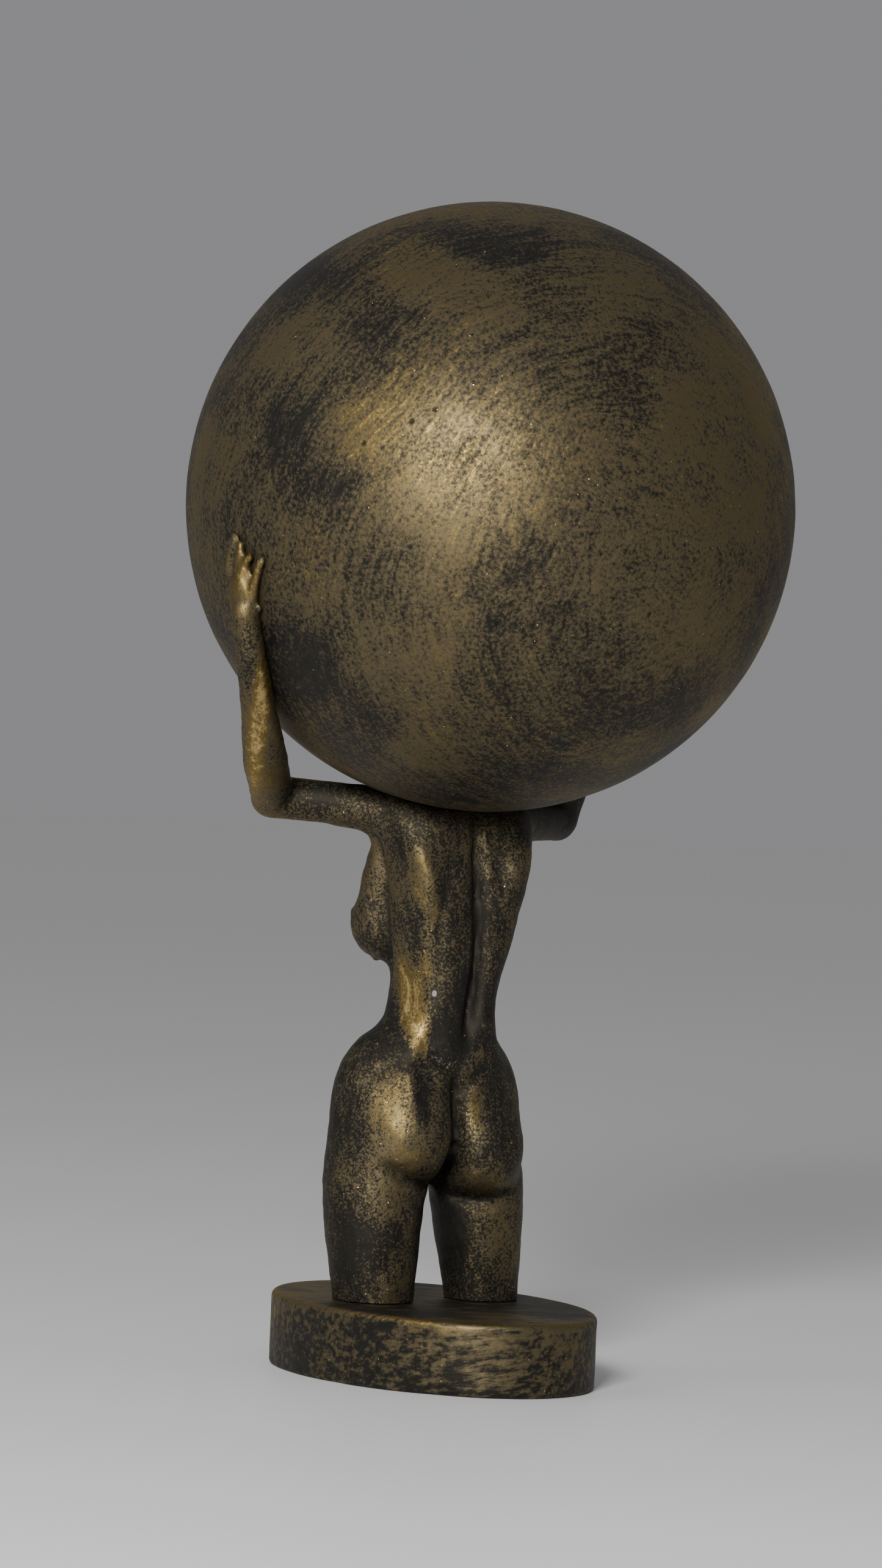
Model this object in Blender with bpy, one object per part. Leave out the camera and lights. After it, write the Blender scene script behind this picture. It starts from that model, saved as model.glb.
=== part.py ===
"""Headless female figure holding a large globe on its shoulders, cut off at mid-thigh on an oval plinth.

Metres. The figure faces -Y, +X is its left and +Z is up. The origin is on the ground under the globe.
"""

import math

import bmesh
import bpy
import numpy as np
from mathutils import Euler, Matrix, Vector

# Overall sizes
GLOBE_DIAMETER = 0.150
FIGURE_HEIGHT = 0.122
PLINTH_LENGTH = 0.104
PLINTH_WIDTH = 0.072
PLINTH_HEIGHT = 0.018
PLINTH_TOP_EDGE = 0.0014
PLINTH_FOOT_EDGE = 0.0006

# Space left between two pieces that are glued together
JOINT_GAP = 0.0003

# How far the globe's centre and the plinth's middle lie behind the middle of the thighs
GLOBE_SET_BACK = 0.014
PLINTH_SET_BACK = 0.004

# Facets
GLOBE_SEGMENTS = 48
GLOBE_RINGS = 26
PLINTH_SEGMENTS = 72
FIGURE_TRIANGLES = 6200

# The figure's own measure: the tables below are in 122nds of its height up to the globe
UNITS_IN_HEIGHT = 122.0
UNIT = FIGURE_HEIGHT / UNITS_IN_HEIGHT

# Step of the figure's skin, in its own measure
SKIN_STEP = 1.2

# Masses of the trunk: centre, radii, turns in degrees about X, Y and Z, blend with the masses before
TRUNK = (
    ((-0.6, 0.0, 99.0), (16.2, 12.2, 23.0), (0, 0, 0), 0.0),
    ((0.0, -1.0, 113.5), (18.6, 10.0, 11.0), (0, 0, 0), 8.0),
    ((-1.0, -0.5, 78.0), (12.0, 9.8, 18.0), (0, 0, 0), 9.0),
    ((-0.2, -3.8, 62.0), (12.4, 8.3, 16.0), (0, 0, 0), 9.0),
    ((0.6, -1.0, 47.5), (20.5, 11.5, 16.0), (0, -7, 0), 9.0),
    ((14.2, -2.6, 49.0), (10.8, 9.4, 16.0), (0, 10, 0), 10.0),
    ((-12.0, -1.2, 46.5), (9.6, 9.0, 16.5), (0, -10, 0), 10.0),
    ((0.8, 3.8, 58.0), (11.5, 7.4, 14.0), (0, 0, 0), 9.0),
)

# Seats: left, then right
SEATS = (
    ((10.4, 6.6, 43.4), (11.4, 10.6, 13.0), (14, 0, 0), 4.5),
    ((-10.2, 6.0, 39.0), (10.9, 10.4, 13.0), (14, 0, 0), 4.5),
)

# Breasts, and the slope that runs from each up to the arm
BREASTS = (
    ((10.4, -7.8, 103.0), (8.4, 4.6, 13.0), (-10, -8, 0), 6.0),
    ((-10.4, -7.8, 102.6), (8.4, 4.6, 13.0), (-10, 8, 0), 6.0),
    ((10.8, -10.6, 92.9), (8.0, 8.6, 8.9), (8, 0, 8), 4.0),
    ((-10.8, -10.6, 92.5), (8.0, 8.6, 8.9), (8, 0, -8), 4.0),
)

# Back muscles of one side, mirrored for the other, and how far all of them lie to the right
BACK = (
    ((8.6, 7.8, 108.0), (7.2, 4.6, 10.5), (0, 24, 14), 5.0),
    ((11.0, 4.4, 100.0), (5.2, 7.2, 18.0), (0, 9, 0), 5.0),
    ((4.9, 7.7, 84.0), (4.4, 4.4, 26.0), (0, 2, 0), 5.0),
    ((7.5, 4.6, 117.0), (10.0, 6.4, 6.5), (0, -16, 0), 6.0),
)

SPINE_SHIFT = 1.8

# Thighs from inside the hip to the cut: stations of centre and radius
THIGHS = (
    (((12.0, -1.4, 46.0), 11.5), ((15.0, -1.4, 33.0), 12.9), ((15.5, -0.8, 20.0), 12.2), ((15.2, 0.2, 4.0), 10.4),
     ((15.1, 0.6, -6.0), 9.5)),
    (((-11.0, -1.6, 43.0), 11.0), ((-13.6, -1.6, 31.0), 11.9), ((-14.8, -1.2, 19.0), 11.2),
     ((-16.2, -0.8, 4.0), 9.5), ((-16.7, -0.6, -6.0), 8.6)),
)

THIGH_BLENDS = (7.0, 3.2)

# Neck stub under the globe
NECK = (((0.0, -2.5, 112.0), 7.5), ((0.0, -3.0, 128.0), 6.5))

# Upper arms from the shoulder to the elbow: left, then right
UPPER_ARMS = (
    (((14.0, 1.0, 120.6), 6.6), ((26.0, -7.4, 122.2), 5.4), ((40.2, -17.4, 123.4), 5.2)),
    (((-14.0, 1.0, 118.6), 6.6), ((-27.0, -8.0, 119.6), 5.4), ((-42.2, -18.0, 120.2), 5.3)),
)

# Forearms as bearings round the globe: turn from the side, share of the radius below its centre,
# height of the axis above the globe's face and the radius there
FOREARMS = (
    ((-16.0, -0.853, 8.6, 5.4), (-5.0, -0.707, 4.6, 4.4), (4.2, -0.533, 3.5, 3.6), (7.0, -0.390, 3.0, 3.3)),
    ((-32.0, -0.853, 8.2, 5.5), (-23.0, -0.707, 4.6, 4.3), (-13.0, -0.533, 3.5, 3.5), (-8.5, -0.390, 3.0, 3.3)),
)

# Fingers and thumb: bearing and drop of the root, bearing and drop of the tip, radius
FINGERS = (
    (0.2, -0.335, 2.8, -0.205, 1.25),
    (2.0, -0.330, 6.2, -0.145, 1.40),
    (5.6, -0.310, 7.8, -0.170, 1.25),
    (7.0, -0.330, 8.0, -0.240, 1.60),
    (8.0, -0.240, 11.0, -0.200, 1.10),
    (8.8, -0.350, 13.2, -0.220, 1.25),
    (7.6, -0.390, 11.4, -0.362, 0.85),
)
HAND_DROP = -0.345
HAND_RADII = (4.6, 2.5, 5.6)
HAND_BEARINGS = (6.2, -8.9)
BACKING_DROP = -0.265
BACKING_RADII = (4.6, 1.1, 6.4)

# Carved lines as seen square on: points across and up, depth, half width, and the side they are on
GROOVES = (
    (((-1.2, 128.0), (-2.8, 105.0), (-3.9, 88.0), (-3.3, 77.0), (-1.2, 66.0), (0.6, 57.0)), 1.7, 2.1, "back"),
    (((0.9, 64.0), (0.6, 50.0), (0.3, 42.0), (-0.2, 33.0), (-0.4, 20.0)), 2.4, 2.2, "back"),
    (((1.0, 30.0), (8.0, 29.6), (14.0, 31.0), (22.0, 36.0)), 1.0, 1.9, "back"),
    (((-1.0, 26.6), (-9.0, 25.8), (-14.0, 26.4), (-20.0, 28.6)), 1.0, 1.9, "back"),
    (((2.0, 121.0), (3.6, 110.0), (8.6, 96.0)), 0.6, 2.4, "back"),
    (((-5.8, 121.0), (-7.4, 110.0), (-11.0, 96.0)), 0.6, 2.4, "back"),
    (((9.4, 58.0), (10.6, 50.0), (9.6, 42.0)), 0.4, 2.6, "back"),
    (((2.0, 58.0), (5.6, 60.6), (9.0, 60.8)), 0.7, 1.6, "back"),
    (((-0.4, 51.0), (-4.0, 56.5), (-9.0, 61.0)), 0.8, 1.7, "back"),
    (((-1.0, 120.0), (-1.8, 100.0), (-2.6, 86.0), (-5.0, 76.0)), 2.0, 1.7, "left"),
    (((-1.0, 120.0), (-1.8, 100.0), (-2.6, 86.0), (-5.0, 76.0)), 2.0, 1.7, "right"),
    (((-0.8, 92.0), (-0.8, 72.0), (-0.4, 58.0)), 0.7, 2.6, "front"),
)

# Raised lines, in the same form
RIDGES = (
    (((18.0, 117.0), (12.5, 107.0), (9.0, 94.0)), 0.9, 2.4, "back"),
    (((-18.0, 117.0), (-12.5, 107.0), (-9.0, 94.0)), 0.9, 2.4, "back"),
    (((6.0, 80.0), (9.6, 70.0), (13.6, 61.0), (14.6, 48.0)), 0.9, 2.6, "back"),
    (((-6.0, 74.0), (-10.5, 64.0), (-14.5, 56.0)), 0.7, 2.8, "back"),
)

# For each side: the axis read across, the axis that faces out and its sign
SIDES = {"back": (0, 1, 1.0), "front": (0, 1, -1.0), "left": (1, 0, 1.0), "right": (1, 0, -1.0)}


def globe_centre():
    """Where the globe's centre lies."""
    return Vector((0.0, 0.0, PLINTH_HEIGHT + FIGURE_HEIGHT + GLOBE_DIAMETER / 2.0))


def figure_foot():
    """Point on the plinth's top, midway between the thighs."""
    return Vector((0.0, -GLOBE_SET_BACK, PLINTH_HEIGHT))


def on_globe(bearing, drop, lift, side):
    """Point in the figure's units beside the globe, on its left (side 1) or right (side -1)."""
    centre = (globe_centre() - figure_foot()) / UNIT
    radius = GLOBE_DIAMETER / 2.0 / UNIT
    z = drop * radius
    ring = math.sqrt((radius + lift) ** 2 - z * z)
    angle = math.radians(bearing)
    return np.array((
        centre.x + side * ring * math.cos(angle),
        centre.y + ring * math.sin(angle),
        centre.z + z,
    ))


def egg(points, centre, radii, turn):
    """Distance to a turned ellipsoid, near enough close to its face."""
    spin = np.array(Euler([math.radians(a) for a in turn]).to_matrix())
    local = (points - np.array(centre)) @ spin
    radii = np.array(radii)
    near = np.linalg.norm(local / radii, axis=1)
    slope = np.linalg.norm(local / radii ** 2, axis=1)
    return near * (near - 1.0) / np.maximum(slope, 1e-6)


def smooth_path(stations, parts):
    """Points and radii along a smooth curve through the stations."""
    knots = np.array([(*centre, radius) for centre, radius in stations])
    padded = np.vstack((2.0 * knots[0] - knots[1], knots, 2.0 * knots[-1] - knots[-2]))
    made = []
    for before, start, end, after in zip(padded[:-3], padded[1:-2], padded[2:-1], padded[3:]):
        for share in np.arange(parts) / parts:
            made.append(0.5 * (2.0 * start + (end - before) * share
                               + (2.0 * before - 5.0 * start + 4.0 * end - after) * share ** 2
                               + (3.0 * start - before - 3.0 * end + after) * share ** 3))
    made.append(knots[-1])
    return np.array(made)


def limb(points, path):
    """Distance to a round limb whose axis and radius follow the path."""
    best = np.full(len(points), 1e6)
    radius = np.zeros(len(points))
    for start, end in zip(path[:-1], path[1:]):
        axis = end[:3] - start[:3]
        offset = points - start[:3]
        along = np.clip(offset @ axis / (axis @ axis), 0.0, 1.0)
        reach = np.linalg.norm(offset - along[:, None] * axis, axis=1)
        nearer = reach < best
        best = np.where(nearer, reach, best)
        radius = np.where(nearer, start[3] + (end[3] - start[3]) * along, radius)
    return best - radius


def merge(first, second, blend):
    """Joins two distances with a rounded hollow of the given width."""
    if first is None:
        return second
    if blend <= 0.0:
        return np.minimum(first, second)
    share = np.clip(0.5 + 0.5 * (first - second) / blend, 0.0, 1.0)
    return first + (second - first) * share - blend * share * (1.0 - share)


def line_reach(points, line, across):
    """Distance from a broken line, read across and up, and how far along it each point lies."""
    flat = points[:, (across, 2)]
    line = np.array(line)
    lengths = np.linalg.norm(np.diff(line, axis=0), axis=1)
    best = np.full(len(points), 1e6)
    share = np.zeros(len(points))
    run = 0.0
    for start, end, length in zip(line[:-1], line[1:], lengths):
        axis = end - start
        offset = flat - start
        along = np.clip(offset @ axis / (axis @ axis), 0.0, 1.0)
        reach = np.linalg.norm(offset - along[:, None] * axis, axis=1)
        nearer = reach < best
        best = np.where(nearer, reach, best)
        share = np.where(nearer, (run + along * length) / lengths.sum(), share)
        run += length
    return best, share


def carve(points, distance, lines, sign):
    """Cuts grooves (sign 1) or raises ridges (sign -1) that fade out at both ends of the given lines."""
    for line, depth, width, side in lines:
        across, outward, way = SIDES[side]
        reach, share = line_reach(points, line, across)
        fade = np.clip(4.0 * np.minimum(share, 1.0 - share), 0.0, 1.0)
        fade = fade * fade * (3.0 - 2.0 * fade)
        facing = np.clip(way * points[:, outward] / 4.0, 0.0, 1.0)
        distance = distance + sign * depth * fade * facing * np.exp(-(reach / width) ** 2)
    return distance


def eggs_of_figure():
    """All ellipsoids of the figure: centre, radii, turns, blend."""
    eggs = list(TRUNK) + list(SEATS) + list(BREASTS)
    for (x, y, z), radii, turn, blend in BACK:
        eggs.append(((x - SPINE_SHIFT, y, z), radii, turn, blend))
        eggs.append(((-x - SPINE_SHIFT, y, z), radii, (turn[0], -turn[1], -turn[2]), blend))
    for side, bearing in zip((1, -1), HAND_BEARINGS):
        for drop, radii, lift in ((HAND_DROP, HAND_RADII, 2.0), (BACKING_DROP, BACKING_RADII, 0.8)):
            lean = math.degrees(math.asin(drop))
            heading = bearing if side == 1 else 180.0 - bearing
            eggs.append((tuple(on_globe(bearing, drop, lift, side)), (radii[1], radii[0], radii[2]),
                         (0.0, -lean, heading), 1.6))
    return eggs


def limbs_of_figure():
    """All round limbs of the figure: path and blend."""
    limbs = [(smooth_path(stations, 6), blend) for stations, blend in zip(THIGHS, THIGH_BLENDS)]
    limbs.append((smooth_path(NECK, 1), 7.0))
    for index, side in enumerate((1, -1)):
        elbow, elbow_radius = UPPER_ARMS[index][-1]
        limbs.append((smooth_path(UPPER_ARMS[index], 5), 5.0))
        stations = [(elbow, elbow_radius)]
        for bearing, drop, lift, radius in FOREARMS[index]:
            stations.append((tuple(on_globe(bearing, drop, lift, side)), radius))
        limbs.append((smooth_path(stations, 6), 1.2))
        shift = HAND_BEARINGS[index] - HAND_BEARINGS[0]
        for root, root_drop, tip, tip_drop, radius in FINGERS:
            bend, bend_drop = (root + tip) / 2.0, (root_drop + tip_drop) / 2.0
            stations = (
                (tuple(on_globe(root + shift, root_drop, radius * 1.0, side)), radius),
                (tuple(on_globe(bend + shift, bend_drop, radius * 1.3, side)), radius * 0.95),
                (tuple(on_globe(tip + shift, tip_drop, radius * 0.8, side)), radius * 0.8),
            )
            limbs.append((smooth_path(stations, 2), 0.5))
    return limbs


def figure_distance(points):
    """Distance of points, in the figure's units, to its carved face."""
    distance = None
    for centre, radii, turn, blend in eggs_of_figure():
        distance = merge(distance, egg(points, centre, radii, turn), blend)
    for path, blend in limbs_of_figure():
        distance = merge(distance, limb(points, path), blend)
    distance = carve(points, distance, GROOVES, 1.0)
    return carve(points, distance, RIDGES, -1.0)


def settle(obj, rounds):
    """Moves the vertices of obj onto the figure's carved face."""
    mesh = obj.data
    count = len(mesh.vertices)
    flat = np.empty(count * 3)
    mesh.vertices.foreach_get("co", flat)
    points = flat.reshape(-1, 3)
    step = 0.05
    for _ in range(rounds):
        here = figure_distance(points)
        slope = np.empty_like(points)
        for axis in range(3):
            nudge = np.zeros(3)
            nudge[axis] = step
            slope[:, axis] = (figure_distance(points + nudge) - here) / step
        size = np.maximum((slope ** 2).sum(axis=1), 0.2)
        move = -np.clip(here, -1.5, 1.5)[:, None] * slope / size[:, None]
        points = points + move
    mesh.vertices.foreach_set("co", points.reshape(-1))
    mesh.update()


def material(name, color, roughness, metallic):
    """Plain Principled material."""
    made = bpy.data.materials.new(name)
    made.use_nodes = True
    shader = made.node_tree.nodes["Principled BSDF"]
    shader.inputs["Base Color"].default_value = (*color, 1.0)
    shader.inputs["Roughness"].default_value = roughness
    shader.inputs["Metallic"].default_value = metallic
    made.diffuse_color = (*color, 1.0)
    return made


def new_object(name, bm, location):
    """Object at the given place, holding what bm holds."""
    mesh = bpy.data.meshes.new(name)
    bm.to_mesh(mesh)
    bm.free()
    obj = bpy.data.objects.new(name, mesh)
    obj.location = location
    bpy.context.scene.collection.objects.link(obj)
    return obj


def dress(obj, finish, sharp):
    """Gives obj its material and smooth shading, with edges over the sharp angle kept."""
    obj.data.materials.clear()
    obj.data.materials.append(finish)
    obj.data.shade_smooth()
    obj.data.set_sharp_from_angle(angle=math.radians(sharp))


def bake(obj):
    """Turns the object's modifiers into its plain mesh."""
    graph = bpy.context.evaluated_depsgraph_get()
    baked = bpy.data.meshes.new_from_object(obj.evaluated_get(graph))
    obj.modifiers.clear()
    old = obj.data
    obj.data = baked
    bpy.data.meshes.remove(old)


def drop_crumbs(obj):
    """Leaves only the largest connected skin of obj."""
    bm = bmesh.new()
    bm.from_mesh(obj.data)
    left = set(bm.verts)
    skins = []
    while left:
        front = [left.pop()]
        skin = list(front)
        while front:
            vert = front.pop()
            near = [edge.other_vert(vert) for edge in vert.link_edges]
            fresh = [other for other in near if other in left]
            left.difference_update(fresh)
            front.extend(fresh)
            skin.extend(fresh)
        skins.append(skin)
    skins.sort(key=len)
    for skin in skins[:-1]:
        bmesh.ops.delete(bm, geom=skin, context="VERTS")
    bm.to_mesh(obj.data)
    bm.free()


def remesh(obj, voxel):
    """Joins the overlapping shells of obj into one even skin."""
    modifier = obj.modifiers.new("skin", "REMESH")
    modifier.mode = "VOXEL"
    modifier.voxel_size = voxel
    modifier.adaptivity = 0.0
    bake(obj)
    drop_crumbs(obj)


def subtract(obj, cutter):
    """Takes the cutter's space out of obj and drops the cutter."""
    modifier = obj.modifiers.new("cut", "BOOLEAN")
    modifier.operation = "DIFFERENCE"
    modifier.solver = "EXACT"
    modifier.object = cutter
    bake(obj)
    bpy.data.objects.remove(cutter)


def ball(name, radius):
    """Faceted ball of the given radius at the globe's place."""
    bm = bmesh.new()
    bmesh.ops.create_uvsphere(bm, u_segments=GLOBE_SEGMENTS, v_segments=GLOBE_RINGS, radius=radius)
    return new_object(name, bm, globe_centre())


def make_globe(finish):
    """The globe."""
    dress(ball("globe", GLOBE_DIAMETER / 2.0), finish, 40.0)


def make_plinth(finish):
    """Oval plinth with softened edges under the thighs."""
    bm = bmesh.new()
    levels = (
        (0.0, PLINTH_FOOT_EDGE),
        (PLINTH_FOOT_EDGE, 0.0),
        (PLINTH_HEIGHT - PLINTH_TOP_EDGE, 0.0),
        (PLINTH_HEIGHT - PLINTH_TOP_EDGE * 0.3, PLINTH_TOP_EDGE * 0.3),
        (PLINTH_HEIGHT, PLINTH_TOP_EDGE),
    )
    rings = []
    for height, inset in levels:
        ring = []
        for step in range(PLINTH_SEGMENTS):
            angle = 2.0 * math.pi * step / PLINTH_SEGMENTS
            x = (PLINTH_WIDTH / 2.0 - inset) * math.cos(angle)
            y = (PLINTH_LENGTH / 2.0 - inset) * math.sin(angle)
            ring.append(bm.verts.new((x, y, height)))
        rings.append(ring)
    bm.faces.new(list(reversed(rings[0])))
    bm.faces.new(rings[-1])
    for low, high in zip(rings[:-1], rings[1:]):
        for step in range(PLINTH_SEGMENTS):
            after = (step + 1) % PLINTH_SEGMENTS
            bm.faces.new((low[step], low[after], high[after], high[step]))
    place = (0.0, PLINTH_SET_BACK - GLOBE_SET_BACK, 0.0)
    dress(new_object("plinth", bm, place), finish, 30.0)


def rough_figure():
    """Overlapping balls and eggs that fill the figure, in its own units."""
    ball = bmesh.new()
    bmesh.ops.create_uvsphere(ball, u_segments=20, v_segments=12, radius=1.0)
    verts = np.array([vert.co[:] for vert in ball.verts])
    faces = [[vert.index for vert in face.verts] for face in ball.faces]
    ball.free()
    places = []
    for centre, radii, turn, _ in eggs_of_figure():
        spin = np.array(Euler([math.radians(a) for a in turn]).to_matrix())
        places.append((verts * np.array(radii)) @ spin.T + np.array(centre))
    for path, _ in limbs_of_figure():
        for start, end in zip(path[:-1], path[1:]):
            count = max(2, int(np.linalg.norm(end[:3] - start[:3]) / (0.35 * start[3])))
            for share in np.linspace(0.0, 1.0, count + 1):
                station = start + (end - start) * share
                places.append(verts * station[3] + station[:3])
    mesh = bpy.data.meshes.new("figure")
    joined = [[index + shift * len(verts) for index in face] for shift in range(len(places)) for face in faces]
    mesh.from_pydata(np.concatenate(places).tolist(), [], joined)
    obj = bpy.data.objects.new("figure", mesh)
    bpy.context.scene.collection.objects.link(obj)
    return obj


def make_figure(finish):
    """The figure, cut flat on the plinth and hollowed where the globe rests in it."""
    obj = rough_figure()
    for rounds in (5, 3):
        remesh(obj, SKIN_STEP)
        settle(obj, rounds)
    obj.data.transform(Matrix.Scale(UNIT, 4))
    obj.location = figure_foot()
    thin = obj.modifiers.new("thin", "DECIMATE")
    thin.ratio = min(1.0, FIGURE_TRIANGLES / (2.0 * len(obj.data.polygons)))
    bake(obj)
    subtract(obj, ball("hollow", GLOBE_DIAMETER / 2.0 + JOINT_GAP))
    bm = bmesh.new()
    bmesh.ops.create_cube(bm, size=PLINTH_LENGTH)
    foot = figure_foot() + Vector((0.0, 0.0, JOINT_GAP - PLINTH_LENGTH / 2.0))
    subtract(obj, new_object("slab", bm, foot))
    dress(obj, finish, 50.0)


def clear():
    """Empties the scene."""
    for obj in list(bpy.data.objects):
        bpy.data.objects.remove(obj)


def main():
    clear()
    make_globe(material("globe_finish", (0.060, 0.052, 0.040), 0.42, 0.35))
    make_figure(material("figure_finish", (0.045, 0.040, 0.033), 0.45, 0.30))
    make_plinth(material("plinth_finish", (0.050, 0.044, 0.034), 0.50, 0.30))


main()
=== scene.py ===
"""Dressed model of a headless female figure holding a large globe, cut off at mid-thigh on an oval plinth.

Metres. The figure faces -Y, +X is its left and +Z is up. The origin is on the ground under the globe.
The photo was taken from behind the figure and to its left.
"""

from __future__ import annotations

import logging
import math
from collections.abc import Callable
from dataclasses import dataclass, field
from enum import Enum

import bmesh
import bpy
import numpy as np
from bpy.types import Material, Mesh, Node, NodeSocket, NodeTree, Object
from mathutils import Euler, Matrix, Vector

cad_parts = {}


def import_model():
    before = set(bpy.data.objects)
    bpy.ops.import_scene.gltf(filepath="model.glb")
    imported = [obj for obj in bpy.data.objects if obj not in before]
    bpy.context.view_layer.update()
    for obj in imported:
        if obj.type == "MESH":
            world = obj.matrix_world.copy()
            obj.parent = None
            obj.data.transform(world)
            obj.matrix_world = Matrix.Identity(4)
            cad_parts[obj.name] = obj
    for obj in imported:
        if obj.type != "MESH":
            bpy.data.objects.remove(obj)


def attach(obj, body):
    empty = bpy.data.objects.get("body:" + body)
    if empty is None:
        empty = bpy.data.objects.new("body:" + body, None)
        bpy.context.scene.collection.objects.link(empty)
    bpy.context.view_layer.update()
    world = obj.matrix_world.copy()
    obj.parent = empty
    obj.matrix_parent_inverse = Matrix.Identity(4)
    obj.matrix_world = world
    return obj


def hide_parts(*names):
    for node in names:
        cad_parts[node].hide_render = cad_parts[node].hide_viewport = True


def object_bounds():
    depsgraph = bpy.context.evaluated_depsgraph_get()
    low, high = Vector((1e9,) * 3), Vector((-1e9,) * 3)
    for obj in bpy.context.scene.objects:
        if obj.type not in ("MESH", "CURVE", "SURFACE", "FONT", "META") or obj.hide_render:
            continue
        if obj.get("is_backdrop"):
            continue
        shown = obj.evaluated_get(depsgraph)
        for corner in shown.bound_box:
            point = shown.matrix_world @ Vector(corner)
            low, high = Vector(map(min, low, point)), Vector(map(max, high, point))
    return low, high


LOG = logging.getLogger("atlas_statue")

Vec3 = tuple[float, float, float]
Point2 = tuple[float, float]
Station = tuple[Vec3, float]
Links = dict[str | int, object]


# ---------------------------------------------------------------- sizes


@dataclass(frozen=True)
class Sizes:
    """Overall sizes of the statue in metres, the same as the solids'."""

    globe_diameter: float = 0.150
    figure_height: float = 0.122
    plinth_length: float = 0.104
    plinth_width: float = 0.072
    plinth_height: float = 0.018
    plinth_top_edge: float = 0.0014
    joint_gap: float = 0.0003
    globe_set_back: float = 0.014
    plinth_set_back: float = 0.004
    units_in_height: float = 122.0

    @property
    def unit(self) -> float:
        """Length of one of the figure's own units."""
        return self.figure_height / self.units_in_height

    @property
    def globe_radius(self) -> float:
        """Half the globe's diameter."""
        return self.globe_diameter / 2.0

    @property
    def globe_centre(self) -> Vector:
        """Where the globe's centre lies."""
        return Vector((0.0, 0.0, self.plinth_height + self.figure_height + self.globe_radius))

    @property
    def figure_foot(self) -> Vector:
        """Point on the plinth's top, midway between the thighs."""
        return Vector((0.0, -self.globe_set_back, self.plinth_height))

    @property
    def plinth_middle(self) -> Vector:
        """Middle of the plinth's underside."""
        return Vector((0.0, self.plinth_set_back - self.globe_set_back, 0.0))


# ---------------------------------------------------------------- camera


@dataclass(frozen=True)
class PhotoCamera:
    """The camera that took the photo, found from the globe's and the plinth's outlines."""

    azimuth: float = 150.0
    pitch: float = 0.86
    roll: float = 2.67
    focal_px: float = 10000.0
    image: tuple[int, int] = (1445, 2568)
    sensor_mm: float = 36.0
    distance: float = 1.516
    height: float = 0.169
    shift: float = -0.002
    aim: Vec3 = (0.0, -0.014, 0.0)

    def level(self) -> tuple[np.ndarray, np.ndarray, np.ndarray]:
        """Level directions to the photo's right and towards the lens, and straight up."""
        turn = math.radians(self.azimuth)
        return (np.array((math.cos(turn), math.sin(turn), 0.0)),
                np.array((math.sin(turn), -math.cos(turn), 0.0)), np.array((0.0, 0.0, 1.0)))

    def axes(self) -> np.ndarray:
        """Camera axes as rows: to the right, up and backwards, in the statue's frame."""
        pitch, roll = math.radians(self.pitch), math.radians(self.roll)
        right, toward, above = self.level()
        rise = above * math.cos(pitch) - toward * math.sin(pitch)
        back = toward * math.cos(pitch) + above * math.sin(pitch)
        across = right * math.cos(roll) + rise * math.sin(roll)
        up = rise * math.cos(roll) - right * math.sin(roll)
        return np.stack((across, up, back))

    def place(self) -> np.ndarray:
        """Where the lens is."""
        right, toward, above = self.level()
        return np.array(self.aim) + self.shift * right + self.distance * toward + self.height * above

    def seen(self, points: np.ndarray) -> np.ndarray:
        """Where points appear in the photo.

        Args:
            points: Places in metres, one a row.

        Returns:
            Pixels across and down, one pair a row.
        """
        local = (points - self.place()) @ self.axes().T
        depth = -local[:, 2]
        return np.stack((
            self.image[0] / 2.0 + self.focal_px * local[:, 0] / depth,
            self.image[1] / 2.0 - self.focal_px * local[:, 1] / depth,
        ), axis=1)

    def build(self) -> Object:
        """Makes the camera and hands it to the scene.

        Returns:
            The camera object.
        """
        data = bpy.data.cameras.new("photo_camera")
        data.sensor_fit = "VERTICAL"
        data.sensor_height = self.sensor_mm
        data.lens = self.focal_px * self.sensor_mm / self.image[1]
        data.clip_start, data.clip_end = 0.05, 30.0
        camera = bpy.data.objects.new("photo_camera", data)
        across, up, back = self.axes()
        place = self.place()
        rows = [(across[i], up[i], back[i], place[i]) for i in range(3)]
        camera.matrix_world = Matrix((*rows, (0.0, 0.0, 0.0, 1.0)))
        bpy.context.scene.collection.objects.link(camera)
        bpy.context.scene.camera = camera
        return camera


# ---------------------------------------------------------------- mesh helpers


def read_points(mesh: Mesh) -> np.ndarray:
    """The mesh's vertices, one a row."""
    flat = np.empty(len(mesh.vertices) * 3)
    mesh.vertices.foreach_get("co", flat)
    return flat.reshape(-1, 3)


def write_points(mesh: Mesh, points: np.ndarray) -> None:
    """Moves the mesh's vertices to the given places."""
    mesh.vertices.foreach_set("co", points.reshape(-1))
    mesh.update()


def read_normals(mesh: Mesh) -> np.ndarray:
    """The mesh's vertex normals, one a row."""
    flat = np.empty(len(mesh.vertices) * 3)
    mesh.vertex_normals.foreach_get("vector", flat)
    return flat.reshape(-1, 3)


def put_value(mesh: Mesh, name: str, values: np.ndarray) -> None:
    """Stores one number for each vertex under the given name."""
    mesh.attributes.new(name, "FLOAT", "POINT").data.foreach_set("value", values.astype(np.float32))


def link_object(name: str, mesh: Mesh) -> Object:
    """Object that holds the mesh, in the scene and at the origin."""
    obj = bpy.data.objects.new(name, mesh)
    bpy.context.scene.collection.objects.link(obj)
    return obj


def new_mesh(name: str, maker: Callable[..., object], **settings: object) -> Mesh:
    """Mesh of one plain shape, made by the maker with its settings."""
    bm = bmesh.new()
    maker(bm, **settings)
    mesh = bpy.data.meshes.new(name)
    bm.to_mesh(mesh)
    bm.free()
    return mesh


def bake_modifiers(obj: Object) -> None:
    """Turns the object's modifiers into its plain mesh."""
    graph = bpy.context.evaluated_depsgraph_get()
    baked = bpy.data.meshes.new_from_object(obj.evaluated_get(graph))
    obj.modifiers.clear()
    old = obj.data
    obj.data = baked
    bpy.data.meshes.remove(old)


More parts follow.
